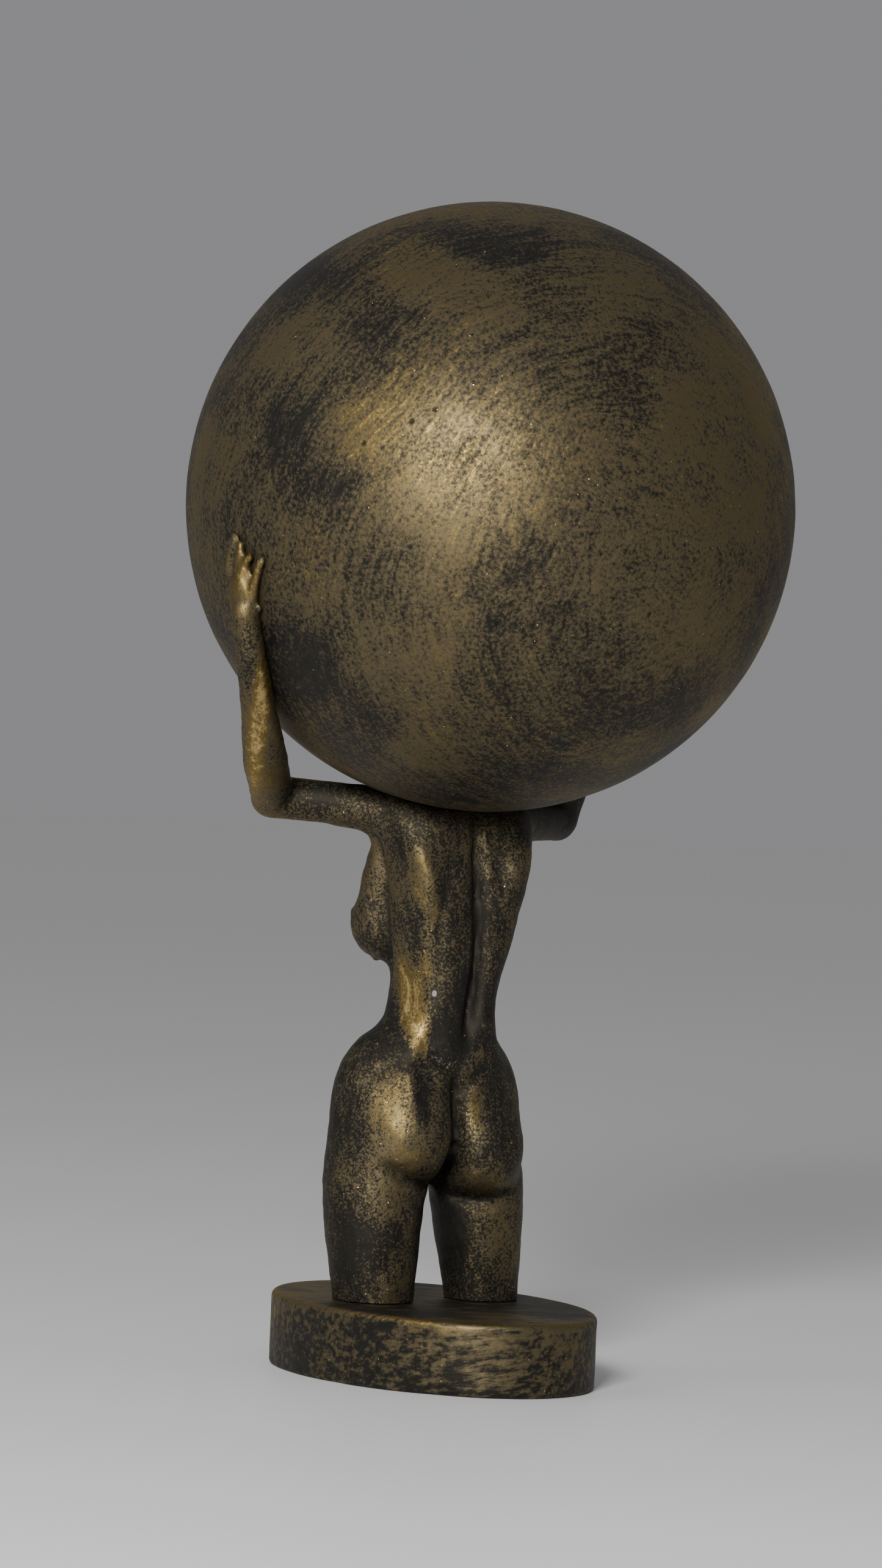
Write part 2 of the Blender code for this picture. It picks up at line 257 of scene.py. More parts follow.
def drop_crumbs(obj: Object) -> None:
    """Leaves only the largest connected skin of the object."""
    bm = bmesh.new()
    bm.from_mesh(obj.data)
    left = set(bm.verts)
    skins = []
    while left:
        front = [left.pop()]
        skin = list(front)
        while front:
            vert = front.pop()
            fresh = [other for other in (edge.other_vert(vert) for edge in vert.link_edges) if other in left]
            left.difference_update(fresh)
            front.extend(fresh)
            skin.extend(fresh)
        skins.append(skin)
    skins.sort(key=len)
    for skin in skins[:-1]:
        bmesh.ops.delete(bm, geom=skin, context="VERTS")
    bm.to_mesh(obj.data)
    bm.free()


def remesh(obj: Object, voxel: float) -> None:
    """Joins the overlapping shells of the object into one even skin.

    Args:
        obj: Object to join.
        voxel: Step of the skin, in the object's own measure.
    """
    modifier = obj.modifiers.new("skin", "REMESH")
    modifier.mode = "VOXEL"
    modifier.voxel_size = voxel
    modifier.adaptivity = 0.0
    bake_modifiers(obj)
    drop_crumbs(obj)


def subtract(obj: Object, cutter: Object) -> None:
    """Takes the cutter's space out of the object and drops the cutter."""
    modifier = obj.modifiers.new("cut", "BOOLEAN")
    modifier.operation = "DIFFERENCE"
    modifier.solver = "EXACT"
    modifier.object = cutter
    bake_modifiers(obj)
    bpy.data.objects.remove(cutter)


def even_out(mesh: Mesh, values: np.ndarray, rounds: int) -> np.ndarray:
    """Averages values with those of the neighbouring vertices.

    Args:
        mesh: Mesh that says which vertices are neighbours.
        values: One row for each vertex.
        rounds: How often to average.

    Returns:
        The averaged values, in the same form.
    """
    ends = np.empty(len(mesh.edges) * 2, dtype=np.int64)
    mesh.edges.foreach_get("vertices", ends)
    first, second = ends[0::2], ends[1::2]
    count = len(mesh.vertices)
    shares = np.maximum(np.bincount(ends, minlength=count), 1)
    table = values.reshape(count, -1).astype(float)
    for _ in range(rounds):
        columns = []
        for column in table.T:
            total = np.bincount(first, column[second], count) + np.bincount(second, column[first], count)
            columns.append(0.5 * column + 0.5 * total / shares)
        table = np.stack(columns, axis=1)
    return table.reshape(values.shape)


def waves(points: np.ndarray, length: float, seed: int) -> np.ndarray:
    """Smooth random unevenness, made of crossing waves.

    Args:
        points: Places, one a row.
        length: Typical length of the waves, in the same measure.
        seed: Fixes the pattern.

    Returns:
        Values of about -1 to 1, one for each point.
    """
    chance = np.random.default_rng(seed)
    total = np.zeros(len(points))
    count = 14
    for _ in range(count):
        heading = chance.normal(size=3)
        heading *= 2.0 * math.pi / (length * chance.uniform(0.6, 1.6) * np.linalg.norm(heading))
        total += np.sin(points @ heading + chance.uniform(0.0, 2.0 * math.pi))
    return total / math.sqrt(count)


def uneven(points: np.ndarray, lengths: Point2, shares: Point2, seed: int) -> np.ndarray:
    """Unevenness made of a long and a short wave.

    Args:
        points: Places, one a row.
        lengths: Length of each wave, in the same measure.
        shares: How much each counts.
        seed: Fixes the pattern.

    Returns:
        One value for each point.
    """
    return shares[0] * waves(points, lengths[0], seed) + shares[1] * waves(points, lengths[1], seed + 1)


# ---------------------------------------------------------------- shader helpers


class NodeMaker:
    """Adds nodes to one node tree and links them in the same call."""

    def __init__(self, tree: NodeTree) -> None:
        """Starts on the given tree."""
        self.tree = tree

    def add(self, kind: str, inputs: Links | None = None, **settings: object) -> Node:
        """Adds a node.

        Args:
            kind: The node's type name.
            inputs: For each input, by name or number, the socket to link or the value to set.
            **settings: Properties of the node.

        Returns:
            The node.
        """
        node = self.tree.nodes.new(kind)
        for name, value in settings.items():
            setattr(node, name, value)
        for key, value in (inputs or {}).items():
            socket = node.inputs[key]
            if isinstance(value, NodeSocket):
                self.tree.links.new(value, socket)
            else:
                socket.default_value = value
        return node

    def math(self, operation: str, first: object, second: object = 0.0, clamp: bool = False) -> NodeSocket:
        """Adds a Math node and gives its result."""
        node = self.add("ShaderNodeMath", {0: first, 1: second}, operation=operation, use_clamp=clamp)
        return node.outputs[0]

    def swing(self, value: object, gain: object) -> NodeSocket:
        """How far a value is over a half, times the gain."""
        return self.math("MULTIPLY", self.math("SUBTRACT", value, 0.5), gain)

    def vector(self, operation: str, inputs: Links) -> NodeSocket:
        """Adds a Vector Math node and gives its vector."""
        return self.add("ShaderNodeVectorMath", inputs, operation=operation).outputs[0]

    def mix(self, share: object, first: object, second: object) -> NodeSocket:
        """Mixes two colours and gives the result."""
        colours = {index: value if isinstance(value, NodeSocket) else (*value, 1.0)
                   for index, value in ((6, first), (7, second))}
        return self.add("ShaderNodeMix", {0: share, **colours}, data_type="RGBA").outputs[2]

    def ramp(self, value: object, low: object, high: object, start: float = 0.0,
             end: float = 1.0) -> NodeSocket:
        """Takes value from low..high to start..end with soft ends."""
        limits = {"Value": value, "From Min": low, "From Max": high, "To Min": start, "To Max": end}
        return self.add("ShaderNodeMapRange", limits, interpolation_type="SMOOTHSTEP").outputs[0]

    def noise(self, place: object, scale: object, detail: float, rough: float = 0.6) -> NodeSocket:
        """Adds a Noise texture and gives its grey value."""
        return self.add("ShaderNodeTexNoise", {"Vector": place, "Scale": scale, "Detail": detail,
                                               "Roughness": rough}).outputs[0]


class GroupKind(Enum):
    """Socket types that the shared groups use."""

    VALUE = "NodeSocketFloat"
    VECTOR = "NodeSocketVector"


def new_group(name: str, takes: dict[str, GroupKind], gives: tuple[str, ...]) -> NodeMaker:
    """Starts a shader node group.

    Args:
        name: The group's name.
        takes: Its inputs and their types.
        gives: Its outputs, which are all values.

    Returns:
        The maker of its tree.
    """
    tree = bpy.data.node_groups.new(name, "ShaderNodeTree")
    for sockets, way in ((takes, "INPUT"), (dict.fromkeys(gives, GroupKind.VALUE), "OUTPUT")):
        for socket, kind in sockets.items():
            tree.interface.new_socket(socket, in_out=way, socket_type=kind.value)
    return NodeMaker(tree)


class SharedEffects:
    """Paint effects that several finishes use, each a node group that is built once."""

    def __init__(self) -> None:
        """Builds the groups."""
        self.dry_brush = self._dry_brush()
        self.pitting = self._pitting()
        self.dust = self._dust()

    def _dry_brush(self) -> NodeTree:
        """Gold paint dragged over dark paint: stipple, streaks and large patches.

        Returns:
            The group. Cover is how much gold there is, 0 to 1, and Gold says where it lies.
        """
        make = new_group(
            "dry_brush",
            {"Place": GroupKind.VECTOR, "Stroke": GroupKind.VECTOR, "Cover": GroupKind.VALUE,
             "Streak Share": GroupKind.VALUE, "Softness": GroupKind.VALUE, "Grain": GroupKind.VALUE},
            ("Gold", "Thickness"),
        )
        take = make.add("NodeGroupInput").outputs
        place = take["Place"]
        bend = make.add("ShaderNodeTexNoise", {"Vector": place, "Scale": 30.0, "Detail": 2.0})
        pull = make.vector("SUBTRACT", {0: bend.outputs["Color"], 1: (0.5, 0.5, 0.5)})
        sway = make.vector("SCALE", {0: pull, "Scale": 0.022})
        bent = make.vector("ADD", {0: place, 1: sway})
        swerve = make.vector("SCALE", {0: sway, "Scale": 0.35})
        dragged = make.vector("ADD", {0: take["Stroke"], 1: swerve})
        stipple = make.noise(place, take["Grain"], 5.0, 0.72)
        streak = make.noise(dragged, 620.0, 5.0, 0.68)
        patch = make.noise(bent, 46.0, 5.0, 0.62)
        drift = make.noise(place, 17.0, 2.0, 0.5)
        share = take["Streak Share"]
        rest = make.math("SUBTRACT", 1.0, share)
        fine = make.math("ADD", make.swing(streak, share), make.swing(stipple, rest))
        broad = make.math("ADD", make.swing(patch, 1.9), make.swing(drift, 1.2))
        total = make.math("ADD", make.math("MULTIPLY", fine, 5.4), broad)
        level = make.math("ADD", take["Cover"], total)
        low, high = (make.math(way, 0.5, take["Softness"]) for way in ("SUBTRACT", "ADD"))
        gold = make.ramp(level, low, high)
        thick = make.math("MULTIPLY", make.math("ADD", stipple, streak), 0.5)
        make.add("NodeGroupOutput", {"Gold": gold, "Thickness": thick})
        return make.tree

    def _pitting(self) -> NodeTree:
        """Small air bubbles open at the cast face.

        Returns:
            The group. Pit is 1 in the middle of a bubble and 0 between them.
        """
        make = new_group(
            "pitting",
            {"Place": GroupKind.VECTOR, "Size": GroupKind.VALUE, "Amount": GroupKind.VALUE},
            ("Pit",),
        )
        take = make.add("NodeGroupInput").outputs
        scale = make.math("DIVIDE", 1.0, take["Size"])
        cells = make.add("ShaderNodeTexVoronoi", {"Vector": take["Place"], "Scale": scale})
        grey = make.add("ShaderNodeSeparateColor", {0: cells.outputs["Color"]})
        chosen = make.math("LESS_THAN", grey.outputs[0], take["Amount"])
        hole = make.ramp(cells.outputs["Distance"], 0.05, 0.24, 1.0, 0.0)
        make.add("NodeGroupOutput", {"Pit": make.math("MULTIPLY", hole, chosen)})
        return make.tree

    def _dust(self) -> NodeTree:
        """Pale dust of plaster that lies in hollows and seams.

        Returns:
            The group. Dust is where it lies, 0 to 1.
        """
        make = new_group("dust", {"Place": GroupKind.VECTOR, "Amount": GroupKind.VALUE}, ("Dust",))
        take = make.add("NodeGroupInput").outputs
        grain = make.noise(take["Place"], 900.0, 4.0, 0.7)
        level = make.math("ADD", take["Amount"], make.swing(grain, 3.0))
        make.add("NodeGroupOutput", {"Dust": make.ramp(level, 0.55, 1.2)})
        return make.tree


# ---------------------------------------------------------------- finishes


@dataclass(frozen=True)
class PaintFinish:
    """Dark satin paint with old gold dragged over it; the pale and bright golds also paint highlights."""

    name: str
    dark: Vec3 = (0.0045, 0.0048, 0.0050)
    worn: Vec3 = (0.011, 0.0103, 0.0090)
    gold: Vec3 = (0.134, 0.105, 0.056)
    # Paler tone of the gold paint, also used as a painted highlight where cover is high.
    pale_gold_and_highlight: Vec3 = (0.182, 0.127, 0.043)
    # Painted highlight: bright gold put where highlights are seen.
    painted_highlight_gold: Vec3 = (0.520, 0.370, 0.150)
    dust: Vec3 = (0.300, 0.290, 0.270)
    streak_share: float = 0.3
    grain: float = 1100.0
    softness: float = 0.58
    metal: float = 0.96
    dark_roughness: float = 0.56
    gold_roughness: float = 0.44
    shine: float = 0.24
    shine_tint: Vec3 = (1.0, 0.88, 0.66)
    pit_size: float = 0.004
    pit_amount: float = 0.05
    relief: float = 0.00012

    def build(self, effects: SharedEffects) -> Material:
        """Makes the material.

        Args:
            effects: The shared paint effects.

        Returns:
            The material. It reads the attributes stroke, cover, hollow and soiled of the mesh.
        """
        made = bpy.data.materials.new(self.name)
        made.use_nodes = True
        tree = made.node_tree
        shader = tree.nodes["Principled BSDF"]
        shader.inputs["Specular IOR Level"].default_value = self.shine
        shader.inputs["Specular Tint"].default_value = (*self.shine_tint, 1.0)
        make = NodeMaker(tree)
        place = make.add("ShaderNodeTexCoord").outputs["Object"]
        stroke = make.add("ShaderNodeAttribute", attribute_name="stroke").outputs["Vector"]
        cover, hollow, soiled = (
            make.add("ShaderNodeAttribute", attribute_name=name).outputs["Fac"]
            for name in ("cover", "hollow", "soiled"))
        brushed = make.add("ShaderNodeGroup", {
            "Place": place, "Stroke": stroke, "Cover": cover, "Streak Share": self.streak_share,
            "Softness": self.softness, "Grain": self.grain}, node_tree=effects.dry_brush)
        pitted = make.add("ShaderNodeGroup", {
            "Place": place, "Size": self.pit_size, "Amount": self.pit_amount}, node_tree=effects.pitting)
        dusted = make.add("ShaderNodeGroup", {"Place": place, "Amount": soiled}, node_tree=effects.dust)
        gold = make.math("MULTIPLY", brushed.outputs["Gold"], make.math("SUBTRACT", 1.0, hollow, clamp=True))
        gold = make.math("MULTIPLY", gold, make.math("SUBTRACT", 1.0, pitted.outputs["Pit"], clamp=True))
        thickness = brushed.outputs["Thickness"]
        under = make.mix(make.ramp(thickness, 0.40, 0.62), self.dark, self.worn)
        # Paler gold where the paint lies thick, and where cover is high as a painted highlight.
        pale_and_highlight_level = make.math("ADD", thickness, make.math("MULTIPLY", make.math("SUBTRACT", cover, 0.66), 0.30))
        over = make.mix(make.ramp(pale_and_highlight_level, 0.44, 0.66), self.gold, self.pale_gold_and_highlight)
        # Painted highlight: where cover runs past 1 the gold turns to the bright highlight gold.
        painted_highlight_level = make.math("ADD", cover, make.swing(thickness, 6.0))
        over = make.mix(make.ramp(painted_highlight_level, 1.05, 1.95), over, self.painted_highlight_gold)
        painted = make.mix(gold, under, over)
        powder = dusted.outputs["Dust"]
        clean = make.math("SUBTRACT", 1.0, powder, clamp=True)
        metallic = make.math("MULTIPLY", make.math("MULTIPLY", gold, self.metal), clean)
        spread = make.swing(thickness, 0.5)
        base = make.math("MULTIPLY_ADD", gold, self.gold_roughness - self.dark_roughness)
        base.node.inputs[2].default_value = self.dark_roughness
        rough = make.math("ADD", make.math("ADD", base, spread), make.math("MULTIPLY", powder, 0.3), True)
        height = make.math("SUBTRACT", make.math("ADD", thickness, make.math("MULTIPLY", gold, 0.12)),
                           make.math("MULTIPLY", pitted.outputs["Pit"], 2.5))
        bump = make.add("ShaderNodeBump", {"Height": height, "Strength": 1.0, "Distance": self.relief})
        for name, value in (("Base Color", make.mix(powder, painted, self.dust)), ("Metallic", metallic),
                            ("Roughness", rough), ("Normal", bump.outputs[0])):
            tree.links.new(value, shader.inputs[name])
        made.diffuse_color = (*self.gold, 1.0)
        return made


@dataclass(frozen=True)
class PlainFinish:
    """A finish of one even colour."""

    name: str
    colour: Vec3
    roughness: float
    metallic: float = 0.0

    def build(self) -> Material:
        """Makes the material."""
        made = bpy.data.materials.new(self.name)
        made.use_nodes = True
        shader = made.node_tree.nodes["Principled BSDF"]
        shader.inputs["Base Color"].default_value = (*self.colour, 1.0)
        shader.inputs["Roughness"].default_value = self.roughness
        shader.inputs["Metallic"].default_value = self.metallic
        made.diffuse_color = (*self.colour, 1.0)
        return made


# ---------------------------------------------------------------- where the gold lies


@dataclass(frozen=True)
class Dab:
    """A patch with more or less gold, placed and sized in pixels of the photo; some paint highlights, and one
    paints shade.
    """

    across: float
    down: float
    wide: float
    tall: float
    gain: float
    turn: float = 0.0

    def strength(self, pixels: np.ndarray) -> np.ndarray:
        """How strongly the dab acts at each pixel position, 0 to 1."""
        turn = math.radians(self.turn)
        offset = pixels - np.array((self.across, self.down))
        along = offset[:, 0] * math.cos(turn) - offset[:, 1] * math.sin(turn)
        over = offset[:, 0] * math.sin(turn) + offset[:, 1] * math.cos(turn)
        return np.exp(-((along / self.wide) ** 2 + (over / self.tall) ** 2) ** 1.5)


@dataclass(frozen=True)
class BrushWay:
    """The way the brush was dragged: straight along an axis, or in rings round it."""

    axis: Vec3
    centre: Vec3 | None = None
    stretch: float = 0.10

    def strokes(self, points: np.ndarray) -> np.ndarray:
        """Coordinates that hardly change along a brush stroke.

        Args:
            points: Places in metres, one a row.

        Returns:
            Three coordinates for each point, in metres.
        """
        axis = np.array(self.axis) / np.linalg.norm(self.axis)
        if self.centre is None:
            return points - (1.0 - self.stretch) * (points @ axis)[:, None] * axis
        offset = points - np.array(self.centre)
        level = offset @ axis
        ring = np.linalg.norm(offset - level[:, None] * axis, axis=1)
        loose = self.stretch + (1.0 - ring / ring.max()) ** 1.5
        loose = loose + 0.9 * np.clip(waves(points, 0.08, 4), 0.0, 1.0)
        drift = 0.014 * loose * waves(points, 0.05, 3)
        return np.stack((ring + 0.0035 * waves(points, 0.07, 2), level, drift), axis=1)


@dataclass(frozen=True)
class Brushwork:
    """Spreads gold over a piece: an even share, dabs on the photo's side, and waves elsewhere."""

    camera: PhotoCamera
    way: BrushWay
    base: float
    dabs: tuple[Dab, ...]
    soil: tuple[Dab, ...] = ()
    unseen_spread: float = 0.22
    unseen_length: float = 0.045
    ridge_gain: float = 0.0
    hollow_gain: float = 1.6
    hollow_start: float = 0.70
    seed: int = 1

    def apply(self, mesh: Mesh, relief: np.ndarray) -> None:
        """Stores the attributes stroke, cover, hollow and soiled on the mesh.

        Args:
            mesh: Mesh of the piece, in metres.
            relief: How far each vertex stands out from its surroundings, about -1 to 1.
        """
        points = read_points(mesh)
        pixels = self.camera.seen(points)
        facing = np.clip(read_normals(mesh) @ self.camera.axes()[2] / 0.35 + 0.2, 0.0, 1.0)
        cover = np.full(len(points), self.base)
        soiled = np.zeros(len(points))
        for total, patches in ((cover, self.dabs), (soiled, self.soil)):
            for dab in patches:
                total += dab.gain * dab.strength(pixels) * facing
        cover += self.unseen_spread * waves(points, self.unseen_length, self.seed) * (1.0 - 0.8 * facing)
        cover += self.ridge_gain * np.clip(relief, -0.4, 1.0)
        strokes = mesh.attributes.new("stroke", "FLOAT_VECTOR", "POINT")
        strokes.data.foreach_set("vector", self.way.strokes(points).astype(np.float32).reshape(-1))
        put_value(mesh, "cover", cover)
        put_value(mesh, "hollow", np.clip(-self.hollow_gain * relief - self.hollow_start, 0.0, 1.0))
        put_value(mesh, "soiled", soiled)


# ---------------------------------------------------------------- figure


def nearest_on(points: np.ndarray, line: np.ndarray) -> tuple[np.ndarray, np.ndarray, np.ndarray]:
    """Finds the nearest place on a line of straight runs.

    Args:
        points: Places, one a row.
        line: The line's corners, one a row.

    Returns:
        For each point the distance, the number of the run and how far along the run it is, 0 to 1.
    """
    best = np.full(len(points), 1e6)
    run = np.zeros(len(points), dtype=int)
    share = np.zeros(len(points))
    for index, (start, end) in enumerate(zip(line[:-1], line[1:])):
        axis = end - start
        offset = points - start
        along = np.clip(offset @ axis / (axis @ axis), 0.0, 1.0)
        reach = np.linalg.norm(offset - along[:, None] * axis, axis=1)
        nearer = reach < best
        best = np.where(nearer, reach, best)
        run = np.where(nearer, index, run)
        share = np.where(nearer, along, share)
    return best, run, share


@dataclass(frozen=True)
class Mass:
    """A turned ellipsoid of the figure, in its own units."""

    centre: Vec3
    radii: Vec3
    turn: Vec3
    blend: float

    def both_sides(self, shift: float) -> tuple[Mass, Mass]:
        """The mass and its mirror image, both moved to the figure's right by the shift."""
        x, y, z = self.centre
        turned = (self.turn[0], -self.turn[1], -self.turn[2])
        return (Mass((x - shift, y, z), self.radii, self.turn, self.blend),
                Mass((-x - shift, y, z), self.radii, turned, self.blend))

    def spin(self) -> np.ndarray:
        """The mass's turn as a matrix."""
        return np.array(Euler([math.radians(a) for a in self.turn]).to_matrix())

    def reach(self) -> tuple[np.ndarray, np.ndarray]:
        """Lowest and highest corners of a box that holds the mass."""
        most = max(self.radii)
        return np.array(self.centre) - most, np.array(self.centre) + most

    def distance(self, points: np.ndarray) -> np.ndarray:
        """Distance of points to the mass, near enough close to its face."""
        local = (points - np.array(self.centre)) @ self.spin()
        radii = np.array(self.radii)
        near = np.linalg.norm(local / radii, axis=1)
        slope = np.linalg.norm(local / radii ** 2, axis=1)
        return near * (near - 1.0) / np.maximum(slope, 1e-6)


@dataclass(frozen=True)
class Limb:
    """A round limb whose axis and radius run smoothly through its stations, in the figure's units."""

    stations: tuple[Station, ...]
    parts: int
    blend: float

    def path(self) -> np.ndarray:
        """Points and radii along the limb, one a row."""
        knots = np.array([(*centre, radius) for centre, radius in self.stations])
        padded = np.vstack((2.0 * knots[0] - knots[1], knots, 2.0 * knots[-1] - knots[-2]))
        made = []
        for before, start, end, after in zip(padded[:-3], padded[1:-2], padded[2:-1], padded[3:]):
            for share in np.arange(self.parts) / self.parts:
                made.append(0.5 * (2.0 * start + (end - before) * share
                                   + (2.0 * before - 5.0 * start + 4.0 * end - after) * share ** 2
                                   + (3.0 * start - before - 3.0 * end + after) * share ** 3))
        made.append(knots[-1])
        return np.array(made)

    def reach(self) -> tuple[np.ndarray, np.ndarray]:
        """Lowest and highest corners of a box that holds the limb."""
        path = self.path()
        most = path[:, 3].max()
        return path[:, :3].min(axis=0) - most, path[:, :3].max(axis=0) + most

    def distance(self, points: np.ndarray) -> np.ndarray:
        """Distance of points to the limb's face."""
        path = self.path()
        best, run, share = nearest_on(points, path[:, :3])
        radii = path[:, 3]
        return best - (radii[run] + (radii[run + 1] - radii[run]) * share)


class Side(Enum):
    """Side of the figure that a line is drawn on: axis read across, axis that faces out, its sign."""

    BACK = (0, 1, 1.0)
    FRONT = (0, 1, -1.0)
    LEFT = (1, 0, 1.0)
    RIGHT = (1, 0, -1.0)


@dataclass(frozen=True)
class Stroke:
    """A groove (depth over 0) or a ridge (depth under 0) along a line, in the figure's units."""

    line: tuple[Point2, ...]
    depth: float
    width: float
    side: Side = Side.BACK

    def cut(self, points: np.ndarray) -> np.ndarray:
        """How far the stroke pushes the face in at each point.

        Args:
            points: Places in the figure's units, one a row.

        Returns:
            The depth at each point, fading out at both ends of the line.
        """
        across, outward, way = self.side.value
        flat = points[:, (across, 2)]
        line = np.array(self.line)
        lengths = np.linalg.norm(np.diff(line, axis=0), axis=1)
        best, run, along = nearest_on(flat, line)
        passed = np.concatenate(([0.0], np.cumsum(lengths)))
        share = (passed[run] + along * lengths[run]) / lengths.sum()
        fade = np.clip(4.0 * np.minimum(share, 1.0 - share), 0.0, 1.0)
        fade = fade * fade * (3.0 - 2.0 * fade)
        facing = np.clip(way * points[:, outward] / 4.0, 0.0, 1.0)
        return self.depth * fade * facing * np.exp(-(best / self.width) ** 2)


def merge(first: np.ndarray, second: np.ndarray, blend: float) -> np.ndarray:
    """Joins two distances with a rounded hollow of the given width."""
    if blend <= 0.0:
        return np.minimum(first, second)
    share = np.clip(0.5 + 0.5 * (first - second) / blend, 0.0, 1.0)
    return first + (second - first) * share - blend * share * (1.0 - share)


TRUNK = (
    Mass((-0.6, 0.0, 99.0), (16.2, 12.2, 23.0), (0, 0, 0), 0.0),
    Mass((0.0, -1.0, 113.5), (18.6, 10.0, 11.0), (0, 0, 0), 8.0),
    Mass((-1.0, -0.5, 78.0), (12.0, 9.8, 18.0), (0, 0, 0), 9.0),
    Mass((-0.2, -3.8, 62.0), (12.4, 8.3, 16.0), (0, 0, 0), 9.0),
    Mass((0.6, -1.0, 47.5), (20.5, 11.5, 16.0), (0, -7, 0), 9.0),
    Mass((14.2, -2.6, 49.0), (10.8, 9.4, 16.0), (0, 10, 0), 10.0),
    Mass((-12.0, -1.2, 46.5), (9.6, 9.0, 16.5), (0, -10, 0), 10.0),
    Mass((0.8, 3.8, 58.0), (11.5, 7.4, 14.0), (0, 0, 0), 9.0),
)
SEATS = (
    Mass((10.4, 6.6, 43.4), (11.4, 10.6, 13.0), (14, 0, 0), 4.5),
    Mass((-10.2, 6.0, 39.0), (10.9, 10.4, 13.0), (14, 0, 0), 4.5),
)
BREASTS = (
    Mass((10.4, -7.8, 103.0), (8.4, 4.6, 13.0), (-10, -8, 0), 6.0),
    Mass((-10.4, -7.8, 102.6), (8.4, 4.6, 13.0), (-10, 8, 0), 6.0),
    Mass((10.8, -10.6, 92.9), (8.0, 8.6, 8.9), (8, 0, 8), 4.0),
    Mass((-10.8, -10.6, 92.5), (8.0, 8.6, 8.9), (8, 0, -8), 4.0),
)
BACK = (
    Mass((8.6, 7.8, 108.0), (7.2, 4.6, 10.5), (0, 24, 14), 5.0),
    Mass((11.0, 4.4, 100.0), (5.2, 7.2, 18.0), (0, 9, 0), 5.0),
    Mass((4.9, 7.7, 84.0), (4.4, 4.4, 26.0), (0, 2, 0), 5.0),
    Mass((7.5, 4.6, 117.0), (10.0, 6.4, 6.5), (0, -16, 0), 6.0),
)
SPINE_SHIFT = 1.8
THIGHS = (
    (((12.0, -1.4, 46.0), 11.5), ((15.0, -1.4, 33.0), 12.9), ((15.5, -0.8, 20.0), 12.2),
     ((15.2, 0.2, 4.0), 10.4), ((15.1, 0.6, -6.0), 9.5)),
    (((-11.0, -1.6, 43.0), 11.0), ((-13.6, -1.6, 31.0), 11.9), ((-14.8, -1.2, 19.0), 11.2),
     ((-16.2, -0.8, 4.0), 9.5), ((-16.7, -0.6, -6.0), 8.6)),
)
THIGH_BLENDS = (7.0, 3.2)
NECK = (((0.0, -2.5, 112.0), 7.5), ((0.0, -3.0, 128.0), 6.5))
UPPER_ARMS = (
    (((14.0, 1.0, 120.6), 6.6), ((26.0, -7.4, 122.2), 5.4), ((40.2, -17.4, 123.4), 5.2)),
    (((-14.0, 1.0, 118.6), 6.6), ((-27.0, -8.0, 119.6), 5.4), ((-42.2, -18.0, 120.2), 5.3)),
)
FOREARMS = (
    ((-16.0, -0.853, 8.6, 5.4), (-5.0, -0.707, 4.6, 4.4), (4.2, -0.533, 3.5, 3.6), (7.0, -0.390, 3.0, 3.3)),
    ((-32.0, -0.853, 8.2, 5.5), (-23.0, -0.707, 4.6, 4.3), (-13.0, -0.533, 3.5, 3.5),
     (-8.5, -0.390, 3.0, 3.3)),
)
FINGERS = (
    (0.2, -0.335, 2.8, -0.205, 1.25),
    (2.0, -0.330, 6.2, -0.145, 1.40),
    (5.6, -0.310, 7.8, -0.170, 1.25),
    (7.0, -0.330, 8.0, -0.240, 1.60),
    (8.0, -0.240, 11.0, -0.200, 1.10),
    (8.8, -0.350, 13.2, -0.220, 1.25),
    (7.6, -0.390, 11.4, -0.362, 0.85),
)
STROKES = (
    Stroke(((-1.2, 128.0), (-2.8, 105.0), (-3.9, 88.0), (-3.3, 77.0), (-1.2, 66.0), (0.6, 57.0)), 1.7, 2.1),
    Stroke(((0.9, 64.0), (0.6, 50.0), (0.3, 42.0), (-0.2, 33.0), (-0.4, 20.0)), 2.4, 2.2),
    Stroke(((1.0, 30.0), (8.0, 29.6), (14.0, 31.0), (22.0, 36.0)), 1.0, 1.9),
    Stroke(((-1.0, 26.6), (-9.0, 25.8), (-14.0, 26.4), (-20.0, 28.6)), 1.0, 1.9),
    Stroke(((2.0, 121.0), (3.6, 110.0), (8.6, 96.0)), 0.6, 2.4),
    Stroke(((-5.8, 121.0), (-7.4, 110.0), (-11.0, 96.0)), 0.6, 2.4),
    Stroke(((9.4, 58.0), (10.6, 50.0), (9.6, 42.0)), 0.4, 2.6),
    Stroke(((2.0, 58.0), (5.6, 60.6), (9.0, 60.8)), 0.7, 1.6),
    Stroke(((-0.4, 51.0), (-4.0, 56.5), (-9.0, 61.0)), 0.8, 1.7),
    *(Stroke(((-1.0, 120.0), (-1.8, 100.0), (-2.6, 86.0), (-5.0, 76.0)), 2.0, 1.7, side)
      for side in (Side.LEFT, Side.RIGHT)),
    Stroke(((-0.8, 92.0), (-0.8, 72.0), (-0.4, 58.0)), 0.7, 2.6, Side.FRONT),
    Stroke(((18.0, 117.0), (12.5, 107.0), (9.0, 94.0)), -0.9, 2.4),
    Stroke(((-18.0, 117.0), (-12.5, 107.0), (-9.0, 94.0)), -0.9, 2.4),
    Stroke(((6.0, 80.0), (9.6, 70.0), (13.6, 61.0), (14.6, 48.0)), -0.9, 2.6),
    Stroke(((-6.0, 74.0), (-10.5, 64.0), (-14.5, 56.0)), -0.7, 2.8),
)
